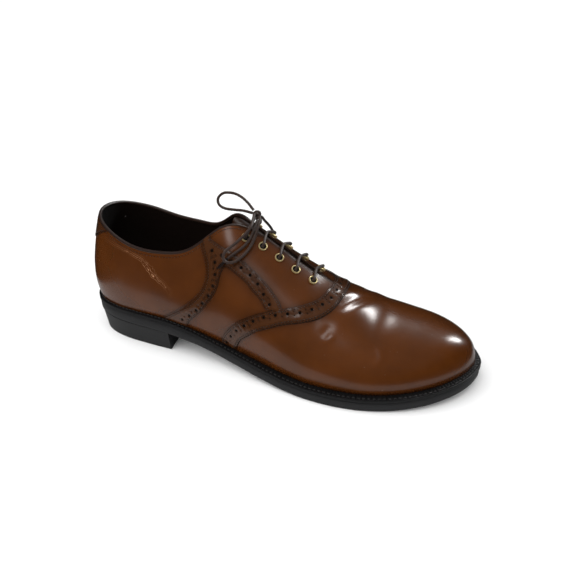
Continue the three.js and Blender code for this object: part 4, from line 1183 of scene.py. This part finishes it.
def turn_outwards(mesh):
    """Turns a closed mesh's faces round where they point inwards."""
    count = len(mesh.vertices)
    points = np.empty(count * 3)
    mesh.vertices.foreach_get("co", points)
    points = points.reshape(-1, 3)
    mesh.calc_loop_triangles()
    corners = np.empty(len(mesh.loop_triangles) * 3, int)
    mesh.loop_triangles.foreach_get("vertices", corners)
    a, b, c = points[corners.reshape(-1, 3)].transpose(1, 0, 2)
    if (a * np.cross(b, c)).sum() < 0:
        mesh.flip_normals()


def hole_rows(line, size):
    """Loops of the large holes along a line and of the pairs of pinholes between them."""
    even = place_line(line, size["hole_pitch"])
    loops = [hole_loop(place, size["hole"], HOLE_SIDES) for place in even]
    middles = (even[:-1] + even[1:]) / 2
    fine = place_line(line, size["hole_pitch"] / 8)
    for place in middles:
        nearest = np.argmin(np.linalg.norm((fine - place) * PLACE_SCALE, axis=1))
        nearest = int(np.clip(nearest, 1, len(fine) - 2))
        short = fine[nearest - 1:nearest + 2]
        for offset in (-PINHOLE_OFFSET, PINHOLE_OFFSET):
            pin = shifted(short, offset)[1]
            loops.append(hole_loop(pin, size["pinhole"], PINHOLE_SIDES))
    return loops


def add_band(name, outline, holes, replaced, top):
    """One punched strip of band leather on the upper."""
    points, faces, kinds, edge = punched_sheet(outline, holes, top)
    # Painted shade: darker round the bands' edges and holes, and fully dark on the underside
    mesh = make_mesh(name, points, faces, material_of_face=kinds, sharp=55,
                     layers={"shade": 0.4 * edge})
    finishes = [finish_of(kind) for kind in ("band_calf", "hole_shadow_leather", "cut_edge_leather")]
    add_piece(name, mesh, finishes, replaced)


def loop_of(parts):
    """A closed outline from lines that meet end to end."""
    points = np.vstack(parts)
    step = np.linalg.norm((points - np.roll(points, 1, axis=0)) * PLACE_SCALE, axis=1)
    return points[step > 0.15]


class BROGUE_OT_bands(Operator):
    """Cuts the punched leather bands of both sides, the throat and the heel"""

    bl_idname = "brogue.add_bands"
    bl_label = "Punched bands"

    def execute(self, context):
        size = sizes()
        teeth = size["gimp"], size["gimp_pitch"]
        for side, turn in (("lateral", list), ("medial", mirrored)):
            edge, front, under, over = [turn(line) for line in FORK_LINES]
            outline = [place_line(edge, 1.5), place_line(front, 1.5), gimped(under, *teeth),
                       gimped(over, *teeth)]
            holes = hole_rows(turn(QUARTER_HOLES[1:-1]), size) + hole_rows(turn(FACING_HOLES), size)
            add_band("fork_band_" + side, loop_of(outline), holes, ["side_band_" + side],
                     size["band"] - SIDE_BAND_DROP)
        over, under = over_ridge(THROAT_OVER), over_ridge(THROAT_UNDER)
        # The lower edge's teeth are larger than the rest, so that they show
        outline = [gimped(over, *teeth)[::-1],
                   gimped(under, 3.2 * size["gimp"], 1.1 * size["gimp_pitch"])]
        add_band("vamp_band", loop_of(outline), hole_rows(over_ridge(THROAT_HOLES), size),
                 ["throat_band"], size["band"])
        # Dark cords under the bands' edges, a painted shadow that shows between the teeth
        rims = [(under, VAMP_RIM), (over, EDGE_RIM), (HEEL_TAB_EDGE, EDGE_RIM)]
        rims += [(turn(line), FORK_RIM) for turn in (list, mirrored) for line in FORK_LINES]
        parts = [tube(surface(place_line(line, 1.2), RIM_LIFT - 0.8 * radius), radius, sides=8)
                 for line, radius in rims]
        points, quads, triangles = join_parts(parts)
        mesh = make_mesh("band_edge_shadow", points, [quads, triangles], sharp=80)
        add_piece("band_edge_shadow", mesh, [finish_of("cut_edge_leather")])
        top = [(section, 0.985) for section in np.linspace(2.55, -2.55, 40)]
        holes = [hole_loop(place, size["hole"], HOLE_SIDES) for place in TAB_HOLES]
        add_band("back_tab", loop_of([place_line(HEEL_TAB_EDGE, 1.5), np.array(top)]), holes,
                 ["heel_tab"], size["band"] - HEEL_TAB_DROP)
        return {"FINISHED"}


class BROGUE_OT_seams(Operator):
    """Sews the rows of stitches beside the bands and under the collar's edge"""

    bl_idname = "brogue.add_seams"
    bl_label = "Seams"

    def execute(self, context):
        size = sizes()
        pitch, thread = size["stitch_pitch"], size["thread"]
        length = 0.72 * pitch
        on_fork = size["band"] - SIDE_BAND_DROP
        rows = []
        for turn, left in ((list, 1), (mirrored, -1)):
            for line, offset, lift in (
                (QUARTER_EDGE, -1.5, 0.05), (QUARTER_EDGE, 1.1, on_fork),
                (QUARTER_FRONT, 1.0, on_fork), (FACING_UNDER, 1.2, on_fork),
                (FACING_OVER, 1.2, on_fork),
            ):
                rows.append(seam(turn(line), left * offset, lift, pitch, length, thread))
        for line, offset in ((THROAT_OVER, -1.2), (THROAT_UNDER, 1.3)):
            rows.append(seam(over_ridge(line), offset, size["band"], pitch, length, thread))
        section = np.linspace(-COLLAR_SEAM_END, COLLAR_SEAM_END, 150)
        below = 0.03
        span = np.linalg.norm(leather_point(section, 1.0) - leather_point(section, 1 - below), axis=1)
        height = 1 - below * COLLAR_SEAM_DEPTH / span
        rows.append(stitch_row(leather_point(section, height, 0.05),
                               leather_normal(section, height), length, thread))
        tab = place_line(HEEL_TAB_EDGE, pitch)
        rows.append(stitch_row(surface(shifted(tab, 1.1), size["band"] - HEEL_TAB_DROP),
                               leather_normal(*spread(tab)), length, thread))
        points, quads, triangles = join_parts(rows)
        mesh = make_mesh("upper_seams", points, [quads, triangles], sharp=80)
        add_piece("upper_seams", mesh, [finish_of("seam_thread")])
        return {"FINISHED"}


class BROGUE_OT_tongue(Operator):
    """Lays the tongue under the facings"""

    bl_idname = "brogue.add_tongue"
    bl_label = "Tongue"

    def execute(self, context):
        first, last = 8.5, 12.5
        section = np.linspace(last, first, 60)
        heights = np.linspace(0.75, 0.995, 18)

        def sheet(lift):
            near = leather_point(section[:, None], heights[None], lift)
            far = leather_point(RING - section[:, None], heights[None, ::-1], lift)
            share = np.linspace(0, 1, 9)[1:-1][None, :, None]
            crown = 0.5 * np.sin(np.pi * share)
            middle = near[:, -1:] * (1 - share) + far[:, :1] * share + crown * np.array([0, 0, 1.0])
            rows = np.concatenate([near, middle, far], 1)
            middle_column = rows.shape[1] // 2
            heading = rows[-1, middle_column] - rows[-6, middle_column]
            heading /= np.linalg.norm(heading)
            centre = rows[-1].mean(0)
            stand = []
            for share in np.linspace(0.08, 1, 14):
                narrow = 1 - 0.18 * share - 0.34 * share ** 6
                row = rows[-1] + heading * TONGUE_STAND * share
                row[:, 1] = centre[1] + (row[:, 1] - centre[1]) * narrow
                stand.append(row)
            return np.concatenate([rows, np.array(stand)], 0)

        upper, lower = sheet(-WALL - GAP), sheet(-WALL - GAP - TONGUE_THICKNESS)
        shape = upper.shape[:2]
        index = np.arange(shape[0] * shape[1]).reshape(shape)
        total = index.size
        around = np.concatenate([index[0, :-1], index[:-1, -1], index[-1, :0:-1], index[:0:-1, 0]])
        wall = np.stack([around, np.roll(around, -1), np.roll(around, -1) + total, around + total], 1)
        faces = [grid_faces(index)[0], grid_faces(index)[0][:, ::-1] + total, wall[:, ::-1]]
        mesh = make_mesh("tongue_calf", np.vstack([upper.reshape(-1, 3), lower.reshape(-1, 3)]), faces)
        turn_outwards(mesh)
        add_piece("tongue_calf", mesh, [finish_of("tongue_calf")], ["tongue"])
        return {"FINISHED"}


def outline_loop(section, growth, height_of):
    """Outline points grown from the feather line, at the height for their place."""
    s = stations(section)
    plan = s[..., :2] + feather_outward(section) * np.broadcast_to(growth, section.shape)[..., None]
    x = plan[..., 0]
    return np.stack([x - HEEL_LENGTH / 2, plan[..., 1], np.broadcast_to(height_of(x), x.shape)], -1)


def even_sections(step):
    """Sections round the ring at even distances along the feather line, and these distances."""
    dense = np.linspace(0, RING, 4000)
    points = stations(dense)[:, :2]
    length = distances(points)
    count = 2 * round(length[-1] / step / 2)
    distance = np.linspace(0, length[-1], count, endpoint=False)
    return np.interp(distance, length, dense), distance


def plate_mesh(section, levels):
    """A plate with walls through all levels and faces that run straight across the shoe."""
    count = len(section)
    rings = [outline_loop(section, growth, height) for growth, height in levels]
    points = np.concatenate(rings)
    index = np.arange(len(points)).reshape(len(levels), count)
    quads = grid_faces(np.stack(list(index), 1), True)[0]
    half = count // 2
    j = np.arange(half)
    strips = []
    for ring, flip in ((index[-1], False), (index[0], True)):
        near = ring[j], ring[j + 1]
        far = ring[(count - j - 1) % count], ring[(count - j) % count]
        strip = np.stack([near[0], near[1], far[0], far[1]], 1)
        strips.append(strip[:, ::-1] if flip else strip)
    ends = [list(dict.fromkeys(quad.tolist()))[:3] for strip in strips for quad in strip[[0, -1]]]
    return points, [quads, np.vstack([s[1:-1] for s in strips]), np.array(ends)]


class BROGUE_OT_insole(Operator):
    """Lays the sock on the insole"""

    bl_idname = "brogue.add_insole"
    bl_label = "Insole"

    def execute(self, context):

        def top(x):
            return feather_height(x) + INSOLE_THICKNESS

        section, _ = even_sections(4)
        inset = -(WALL + 2 * GAP)
        levels = [(inset, feather_height), (inset, lambda x: top(x) - 0.6), (inset - 0.6, top)]
        points, faces = plate_mesh(section, levels)
        mesh = make_mesh("sock", points, faces)
        turn_outwards(mesh)
        add_piece("sock", mesh, [finish_of("matt_lining_leather")], ["insole"])
        return {"FINISHED"}


class BROGUE_OT_welt(Operator):
    """Builds the notched welt and the thread that is sewn through it"""

    bl_idname = "brogue.add_welt"
    bl_label = "Welt"

    def execute(self, context):

        def bottom(x):
            return outsole_top(x) + GAP

        size = sizes()
        section, distance = even_sections(size["welt_pitch"] / 6)
        edge = stations(section)[:, 10]
        wave = np.sin(2 * np.pi * distance / size["welt_pitch"])
        notch = 0.34 * np.sign(wave) * np.abs(wave) ** 0.6 - 0.2
        inner = np.minimum(edge - 1.3, 0.4)
        # Growth from the feather line, height over the welt's underside, share of the notches
        profile = [
            (edge, 0.0, 0), (edge, 0.45, 0), (edge - 0.25, 0.5, 0), (edge - 0.25, 0.75, 0),
            (edge, 0.8, 0), (edge, WELT_THICKNESS - 0.4, 0), (edge - 0.2, WELT_THICKNESS - 0.1, 0),
            (edge - 0.5, WELT_THICKNESS, 0), (edge - 0.8, WELT_THICKNESS - 0.15, 0),
        ]
        for share in (0.0, 0.12, 0.5, 0.88, 1.0):
            amount = 1.0 if 0 < share < 1 else 0.35
            growth = edge - 0.95 - share * (edge - 0.95 - inner)
            profile.append((growth, WELT_THICKNESS - 0.15, amount))
        profile += [(-0.6, WELT_THICKNESS - 0.3, 0), (-WALL - 5, WELT_THICKNESS, 0),
                    (-WALL - 5, 0.0, 0)]
        rings = []
        for growth, lift, amount in profile:
            ring = outline_loop(section, growth, bottom)
            ring[:, 2] += lift + amount * notch
            rings.append(ring)
        count = len(section)
        index = np.arange(len(rings) * count).reshape(len(rings), count).T
        quads = grid_faces(wrapped(index), True)[0]
        mesh = make_mesh("welt_strip", np.concatenate(rings), [quads], sharp=50)
        turn_outwards(mesh)
        add_piece("welt_strip", mesh, [finish_of("welt_rubber")], ["welt"])
        sewn, _ = even_sections(1.5 * size["welt_pitch"])
        sewn = np.r_[sewn, sewn[0]]
        line = outline_loop(sewn, stations(sewn)[:, 10] - 1.9, welt_top) + [0, 0, 0.12]
        part = stitch_row(line, np.tile([0, 0, 1.0], (len(line), 1)), 2.3, 0.75)
        mesh = make_mesh("welt_stitches", part[0], part[1:], sharp=80)
        add_piece("welt_stitches", mesh, [finish_of("welt_thread")])
        return {"FINISHED"}


class BROGUE_OT_outsole(Operator):
    """Builds the outsole"""

    bl_idname = "brogue.add_outsole"
    bl_label = "Outsole"

    def execute(self, context):
        section, _ = even_sections(2)
        edge = stations(section)[:, 10] - OUTSOLE_STEP
        levels = [
            (edge - 1.0, underside), (edge - 0.45, lambda x: underside(x) + 0.2),
            (edge - 0.1, lambda x: underside(x) + 0.6), (edge, lambda x: underside(x) + 1.2),
            (edge, lambda x: outsole_top(x) - 0.5), (edge - 0.3, lambda x: outsole_top(x) - 0.1),
            (edge - 0.8, outsole_top),
        ]
        points, faces = plate_mesh(section, levels)
        mesh = make_mesh("sole_plate", points, faces, sharp=50)
        turn_outwards(mesh)
        add_piece("sole_plate", mesh, [finish_of("moulded_sole_rubber")], ["outsole"])
        return {"FINISHED"}


class BROGUE_OT_heel(Operator):
    """Builds the heel block"""

    bl_idname = "brogue.add_heel"
    bl_label = "Heel"

    def execute(self, context):
        dense = np.linspace(0, TOE, 2000)
        breast = np.interp(HEEL_LENGTH, stations(dense)[:, 0], dense)
        back = np.linspace(-breast, breast, 121)
        share = np.linspace(0, 1, 26)[1:-1]

        def loop(growth, height_of):
            ring = outline_loop(back, growth, height_of)
            start, end = ring[-1], ring[0]
            front = start + (end - start) * share[:, None]
            front[:, 0] -= BREAST_HOLLOW * 4 * share * (1 - share)
            front[:, 2] = height_of(front[:, 0] + HEEL_LENGTH / 2)
            return np.vstack([ring, front])

        def top(x):
            return underside(x) - GAP

        under = HEEL_OVERHANG - HEEL_TAPER
        levels = [(under - 0.6, lambda x: 0 * x), (under - 0.15, lambda x: 0 * x + 0.2),
                  (under, lambda x: 0 * x + 0.7)]
        for part in np.linspace(0.12, 0.92, 6):
            levels.append((under + HEEL_TAPER * part,
                           lambda x, part=part: 0.7 + (top(x) - 0.7) * part))
        levels += [(HEEL_OVERHANG - 0.1, lambda x: top(x) - 0.6), (HEEL_OVERHANG - 0.9, top)]
        rings = [loop(growth, height) for growth, height in levels]
        count = len(rings[0])
        points = np.concatenate(rings)
        index = np.arange(len(points)).reshape(len(levels), count)
        quads = grid_faces(np.stack(list(index), 1), True)[0]
        caps = []
        for ring, flip in ((index[-1], False), (index[0], True)):
            flat = [Vector(p[:2]) for p in points[ring]]
            edges = [(i, (i + 1) % count) for i in range(count)]
            _, _, faces, *_ = delaunay_2d_cdt(flat, edges, [], 1, 1e-6)
            cap = np.array([ring[list(face)] for face in faces])
            caps.append(cap[:, ::-1] if flip else cap)
        mesh = make_mesh("heel_block", points, [quads, *caps], sharp=50)
        turn_outwards(mesh)
        add_piece("heel_block", mesh, [finish_of("moulded_sole_rubber")], ["heel"])
        return {"FINISHED"}


def eyelet_seats():
    """Each eyelet's side and pair, its place on the leather and the direction out of it."""
    seats = []
    for pair, section in enumerate(EYELET_SECTIONS, 1):
        for side, ring in (("lateral", section), ("medial", RING - section)):
            heights = np.linspace(1, 0.5, 400)
            away = np.linalg.norm(rib_point(ring, heights) - rib_point(ring, 1.0), axis=1)
            height = np.interp(EYELET_EDGE, away, heights)
            seats.append((side, pair, leather_point(ring, height), leather_normal(ring, height)))
    return seats


class BROGUE_OT_eyelets(Operator):
    """Sets the brass eyelets with the dark bores inside them"""

    bl_idname = "brogue.add_eyelets"
    bl_label = "Eyelets"

    def execute(self, context):
        # Radius and height, from the bore's floor over the crown to the back
        profile = np.array([
            (0.0, 0.16), (2.3, 0.16), (2.3, 0.6), (2.36, 0.95), (2.5, 1.2), (2.7, 1.28),
            (2.96, 1.16), (3.16, 0.85), (3.2, 0.45), (3.12, 0.0), (0.0, -0.1),
        ])
        sides = 32
        angle = circle(sides)
        for side, pair, place, outward in eyelet_seats():
            turn = Vector((0, 0, 1)).rotation_difference(Vector(outward)).to_matrix()
            rings = np.stack([profile[:, :1] * np.cos(angle), profile[:, :1] * np.sin(angle),
                              np.repeat(profile[:, 1:], sides, 1)], -1)
            points = rings.reshape(-1, 3) @ np.array(turn).T + place
            index = np.arange(len(points)).reshape(len(profile), sides)
            index[0], index[-1] = index[0, 0], index[-1, 0]
            quads, triangles = grid_faces(wrapped(index))
            # The disc in the bore takes the near-black hole leather, a painted shadow
            dark_quads = np.isin(quads, index[1]).all(1)
            kinds = np.r_[dark_quads.astype(int), np.isin(triangles, index[0]).any(1).astype(int)]
            points, faces, _ = used_points(points, [quads, triangles])
            name = f"brass_ring_{side}_{pair}"
            mesh = make_mesh(name, points, faces, material_of_face=kinds, sharp=50)
            turn_outwards(mesh)
            finishes = [finish_of("rolled_eyelet_brass"), finish_of("hole_shadow_leather")]
            add_piece(name, mesh, finishes, [f"eyelet_{side}_{pair}"])
        return {"FINISHED"}


def lace_piece(name, points, replaced, taper=0.0):
    """A braided lace along a route in millimetres."""
    length = np.linalg.norm(np.diff(points, axis=0), axis=1).sum()
    path = smooth_path(points, max(12, round(length / 0.4)))
    part = tube(path, LACE_DIAMETER / 2, braid=0.05, taper=taper)
    mesh = make_mesh(name, part[0], part[1:], sharp=80)
    turn_outwards(mesh)
    return add_piece(name, mesh, [finish_of("waxed_lace_cotton")], replaced), path


class BROGUE_OT_laces(Operator):
    """Threads the lace through the eyelets and ties it, with its loops and ends"""

    bl_idname = "brogue.add_laces"
    bl_label = "Laces"

    def execute(self, context):
        seats = {(side, pair): (place, outward) for side, pair, place, outward in eyelet_seats()}
        first = [seats[side, 1] for side in ("lateral", "medial")]
        knot = (first[0][0] + first[1][0]) / 2 + KNOT_PLACE
        for pair, section in enumerate(EYELET_SECTIONS, 1):
            for side in ("lateral", "medial"):
                place, outward = seats[side, pair]
                seats[side, pair] = [place - 0.1 * outward, place + 2.55 * outward]
            over = np.array([0, 0, LACE_DIAMETER / 2 + 3 * GAP])
            ends = [leather_point(ring, 1.0) + over for ring in (section, RING - section)]
            middle = (ends[0] + ends[1]) / 2 + over * 0.4
            if pair > 1:
                route = [*seats["lateral", pair], ends[0], middle, ends[1],
                         *seats["medial", pair][::-1]]
                lace_piece(f"lace_across_{pair}", route, [f"lace_bar_{pair}"])
        for side, turn in (("lateral", -1), ("medial", 1)):
            at_knot = knot + [-0.5, turn * (KNOT_SIZE / 2 - 0.6), -1.6]
            low, high = seats[side, 1]
            between = high + (at_knot - high) * 0.5 + (high - low) * 0.4
            lace_piece(f"lace_rise_{side}", [low, high, between, at_knot], [f"lace_strand_{side}"])
        self.tie_knot(knot)
        for name, route, node in (
            ("bow_loop_rear", REAR_LOOP, "lace_loop_rear"),
            ("bow_loop_lateral", LATERAL_LOOP, "lace_loop_lateral"),
            ("bow_end_lateral", LATERAL_END, "lace_end_lateral"),
            ("bow_end_medial", MEDIAL_END, "lace_end_medial"),
        ):
            points = np.array(route, float) + knot
            loose_end = "end" in name
            piece, path = lace_piece(name, points, [node], 0.3 if loose_end else 0.0)
            tips = []
            if loose_end:
                tips = [self.add_aglet(name + "_aglet", path)]
        return {"FINISHED"}

    def add_aglet(self, name, path):
        """The stiff tip of a lace's end."""
        part = tube(path[-28:], LACE_DIAMETER / 2 + 0.12, taper=0.25)
        mesh = make_mesh(name, part[0], part[1:], sharp=60)
        turn_outwards(mesh)
        return add_piece(name, mesh, [finish_of("aglet_plastic")])

    def tie_knot(self, centre):
        """The knot: three turns of lace round the short core that the strands run into."""
        angle = np.linspace(0, 2 * np.pi, 40)
        parts = []
        for tilt, lean, radius, shift in KNOT_TURNS:
            ring = np.stack([radius * np.cos(angle), 0.35 * np.sin(2 * angle),
                             radius * np.sin(angle)], -1)
            turn = Matrix.Rotation(tilt, 3, "Z") @ Matrix.Rotation(lean, 3, "X")
            path = ring @ np.array(turn).T + centre + [0, 0, shift]
            path = path[:-1] if radius < 2 else path
            parts.append(tube(path, LACE_DIAMETER / 2 - 0.05, braid=0.05))
        core = np.array([(-1.6, -1.4, -0.8), (0, 0, 0.4), (1.6, 1.2, -0.4)]) + centre
        parts.append(tube(smooth_path(core, 20), LACE_DIAMETER / 2, braid=0.05, taper=0.4))
        points, quads, triangles = join_parts(parts)
        mesh = make_mesh("bow_knot", points, [quads, triangles], sharp=80)
        add_piece("bow_knot", mesh, [finish_of("waxed_lace_cotton")], ["lace_knot"])


def studio_material(name, colour):
    """Matt paper for the floor and the sheet."""
    return start_material(name, {"Base Color": opaque(colour), "Roughness": 0.9})[0]


def flat_object(name, low, high, height, material):
    """A level rectangle between two corners, in millimetres."""
    corners = [(low[0], low[1], height), (high[0], low[1], height),
               (high[0], high[1], height), (low[0], high[1], height)]
    mesh = make_mesh(name, corners, [[[0, 1, 2, 3]]])
    mesh.materials.append(material)
    return bpy.data.objects.new(name, mesh)


class BROGUE_OT_stage(Operator):
    """Sets the floor, the lights and the camera at the photograph's angle"""

    bl_idname = "brogue.add_stage"
    bl_label = "Stage"

    def execute(self, context):
        scene = context.scene
        paper = studio_material("studio_paper", scene.brogue_colours.floor)
        floor = flat_object("floor", *FLOOR, paper)
        scene.collection.objects.link(floor)
        floor.visible_glossy = False
        sheet = flat_object("sheet", *SHEET, studio_material("grey_paper", SHEET_GREY))
        sheet.visible_camera = False
        sheet.visible_diffuse = False
        sheet.visible_shadow = False
        scene.collection.objects.link(sheet)
        # The studio glows more from near the floor than from above
        world = bpy.data.worlds.new("studio")
        world.use_nodes = True
        tree = world.node_tree
        place = add_node(tree, "ShaderNodeTexCoord")
        parts = add_node(tree, "ShaderNodeSeparateXYZ", links={0: place.outputs["Generated"]})
        glow = add_node(tree, "ShaderNodeMapRange", {
            "From Min": -0.35, "From Max": 0.25, "To Min": 0.25, "To Max": 0.07,
        }, {"Value": parts.outputs["Z"]})
        tree.links.new(glow.outputs["Result"], tree.nodes["Background"].inputs["Strength"])
        scene.world = world
        scene.view_settings.view_transform = "Standard"
        for name, place, size, power, lights_shoe in SOFTBOXES:
            light = bpy.data.lights.new(name, "AREA")
            light.shape = "ELLIPSE"
            light.size, light.size_y = size
            light.energy = power
            lamp = self.aim(scene, light, Vector(place))
            lamp.visible_diffuse = lights_shoe
        light = bpy.data.lights.new("ceiling_fill", "SUN")
        light.angle = FILL_SPREAD
        light.energy = FILL_STRENGTH
        lamp = self.aim(scene, light, LAMP_TARGET + FILL_DIRECTION)
        lamp.visible_glossy = False
        camera = bpy.data.objects.new("camera", bpy.data.cameras.new("camera"))
        camera.data.lens = CAMERA_LENS
        camera.data.sensor_width = SENSOR_WIDTH
        back = Vector((
            math.sin(CAMERA_AZIMUTH) * math.cos(CAMERA_ELEVATION),
            -math.cos(CAMERA_AZIMUTH) * math.cos(CAMERA_ELEVATION),
            math.sin(CAMERA_ELEVATION),
        ))
        right = Vector((0, 0, 1)).cross(back).normalized()
        up = back.cross(right)
        turned_right = right * math.cos(CAMERA_ROLL) + up * math.sin(CAMERA_ROLL)
        turned_up = back.cross(turned_right)
        camera.matrix_world = Matrix.Translation(CAMERA_TARGET + back * CAMERA_DISTANCE) @ Matrix((
            turned_right, turned_up, back)).transposed().to_4x4()
        scene.collection.objects.link(camera)
        scene.camera = camera
        return {"FINISHED"}

    def aim(self, scene, light, place):
        """Hangs a light at a place, turned to the shoe."""
        lamp = bpy.data.objects.new(light.name, light)
        lamp.location = place
        lamp.rotation_euler = (LAMP_TARGET - place).to_track_quat("-Z", "Y").to_euler()
        scene.collection.objects.link(lamp)
        return lamp


OPERATORS = (
    BROGUE_OT_stage, BROGUE_OT_laces, BROGUE_OT_upper, BROGUE_OT_binding, BROGUE_OT_bands,
    BROGUE_OT_seams, BROGUE_OT_tongue, BROGUE_OT_insole, BROGUE_OT_welt, BROGUE_OT_outsole,
    BROGUE_OT_heel, BROGUE_OT_eyelets,
)


class BROGUE_PT_panel(Panel):
    """Lists the shoe's pieces"""

    bl_idname = "BROGUE_PT_panel"
    bl_label = "Brogue"
    bl_space_type = "VIEW_3D"
    bl_region_type = "UI"
    bl_category = "Brogue"

    def draw(self, context):
        for operator in OPERATORS:
            self.layout.operator(operator.bl_idname)
        for group in (context.scene.brogue_sizes, context.scene.brogue_colours):
            for key in group.__annotations__:
                self.layout.prop(group, key)


CLASSES = (BrogueSizes, BrogueColours, *OPERATORS, BROGUE_PT_panel)


def register():
    """Adds the shoe's classes and settings to Blender."""
    for cls in CLASSES:
        bpy.utils.register_class(cls)
    bpy.types.Scene.brogue_sizes = PointerProperty(type=BrogueSizes)
    bpy.types.Scene.brogue_colours = PointerProperty(type=BrogueColours)


def unregister():
    """Takes them out again."""
    del bpy.types.Scene.brogue_colours
    del bpy.types.Scene.brogue_sizes
    for cls in reversed(CLASSES):
        bpy.utils.unregister_class(cls)


def main():
    """Builds every piece in order."""
    register()
    for operator in OPERATORS:
        group, name = operator.bl_idname.split(".")
        getattr(getattr(bpy.ops, group), name)()


if __name__ == "__main__":
    main()
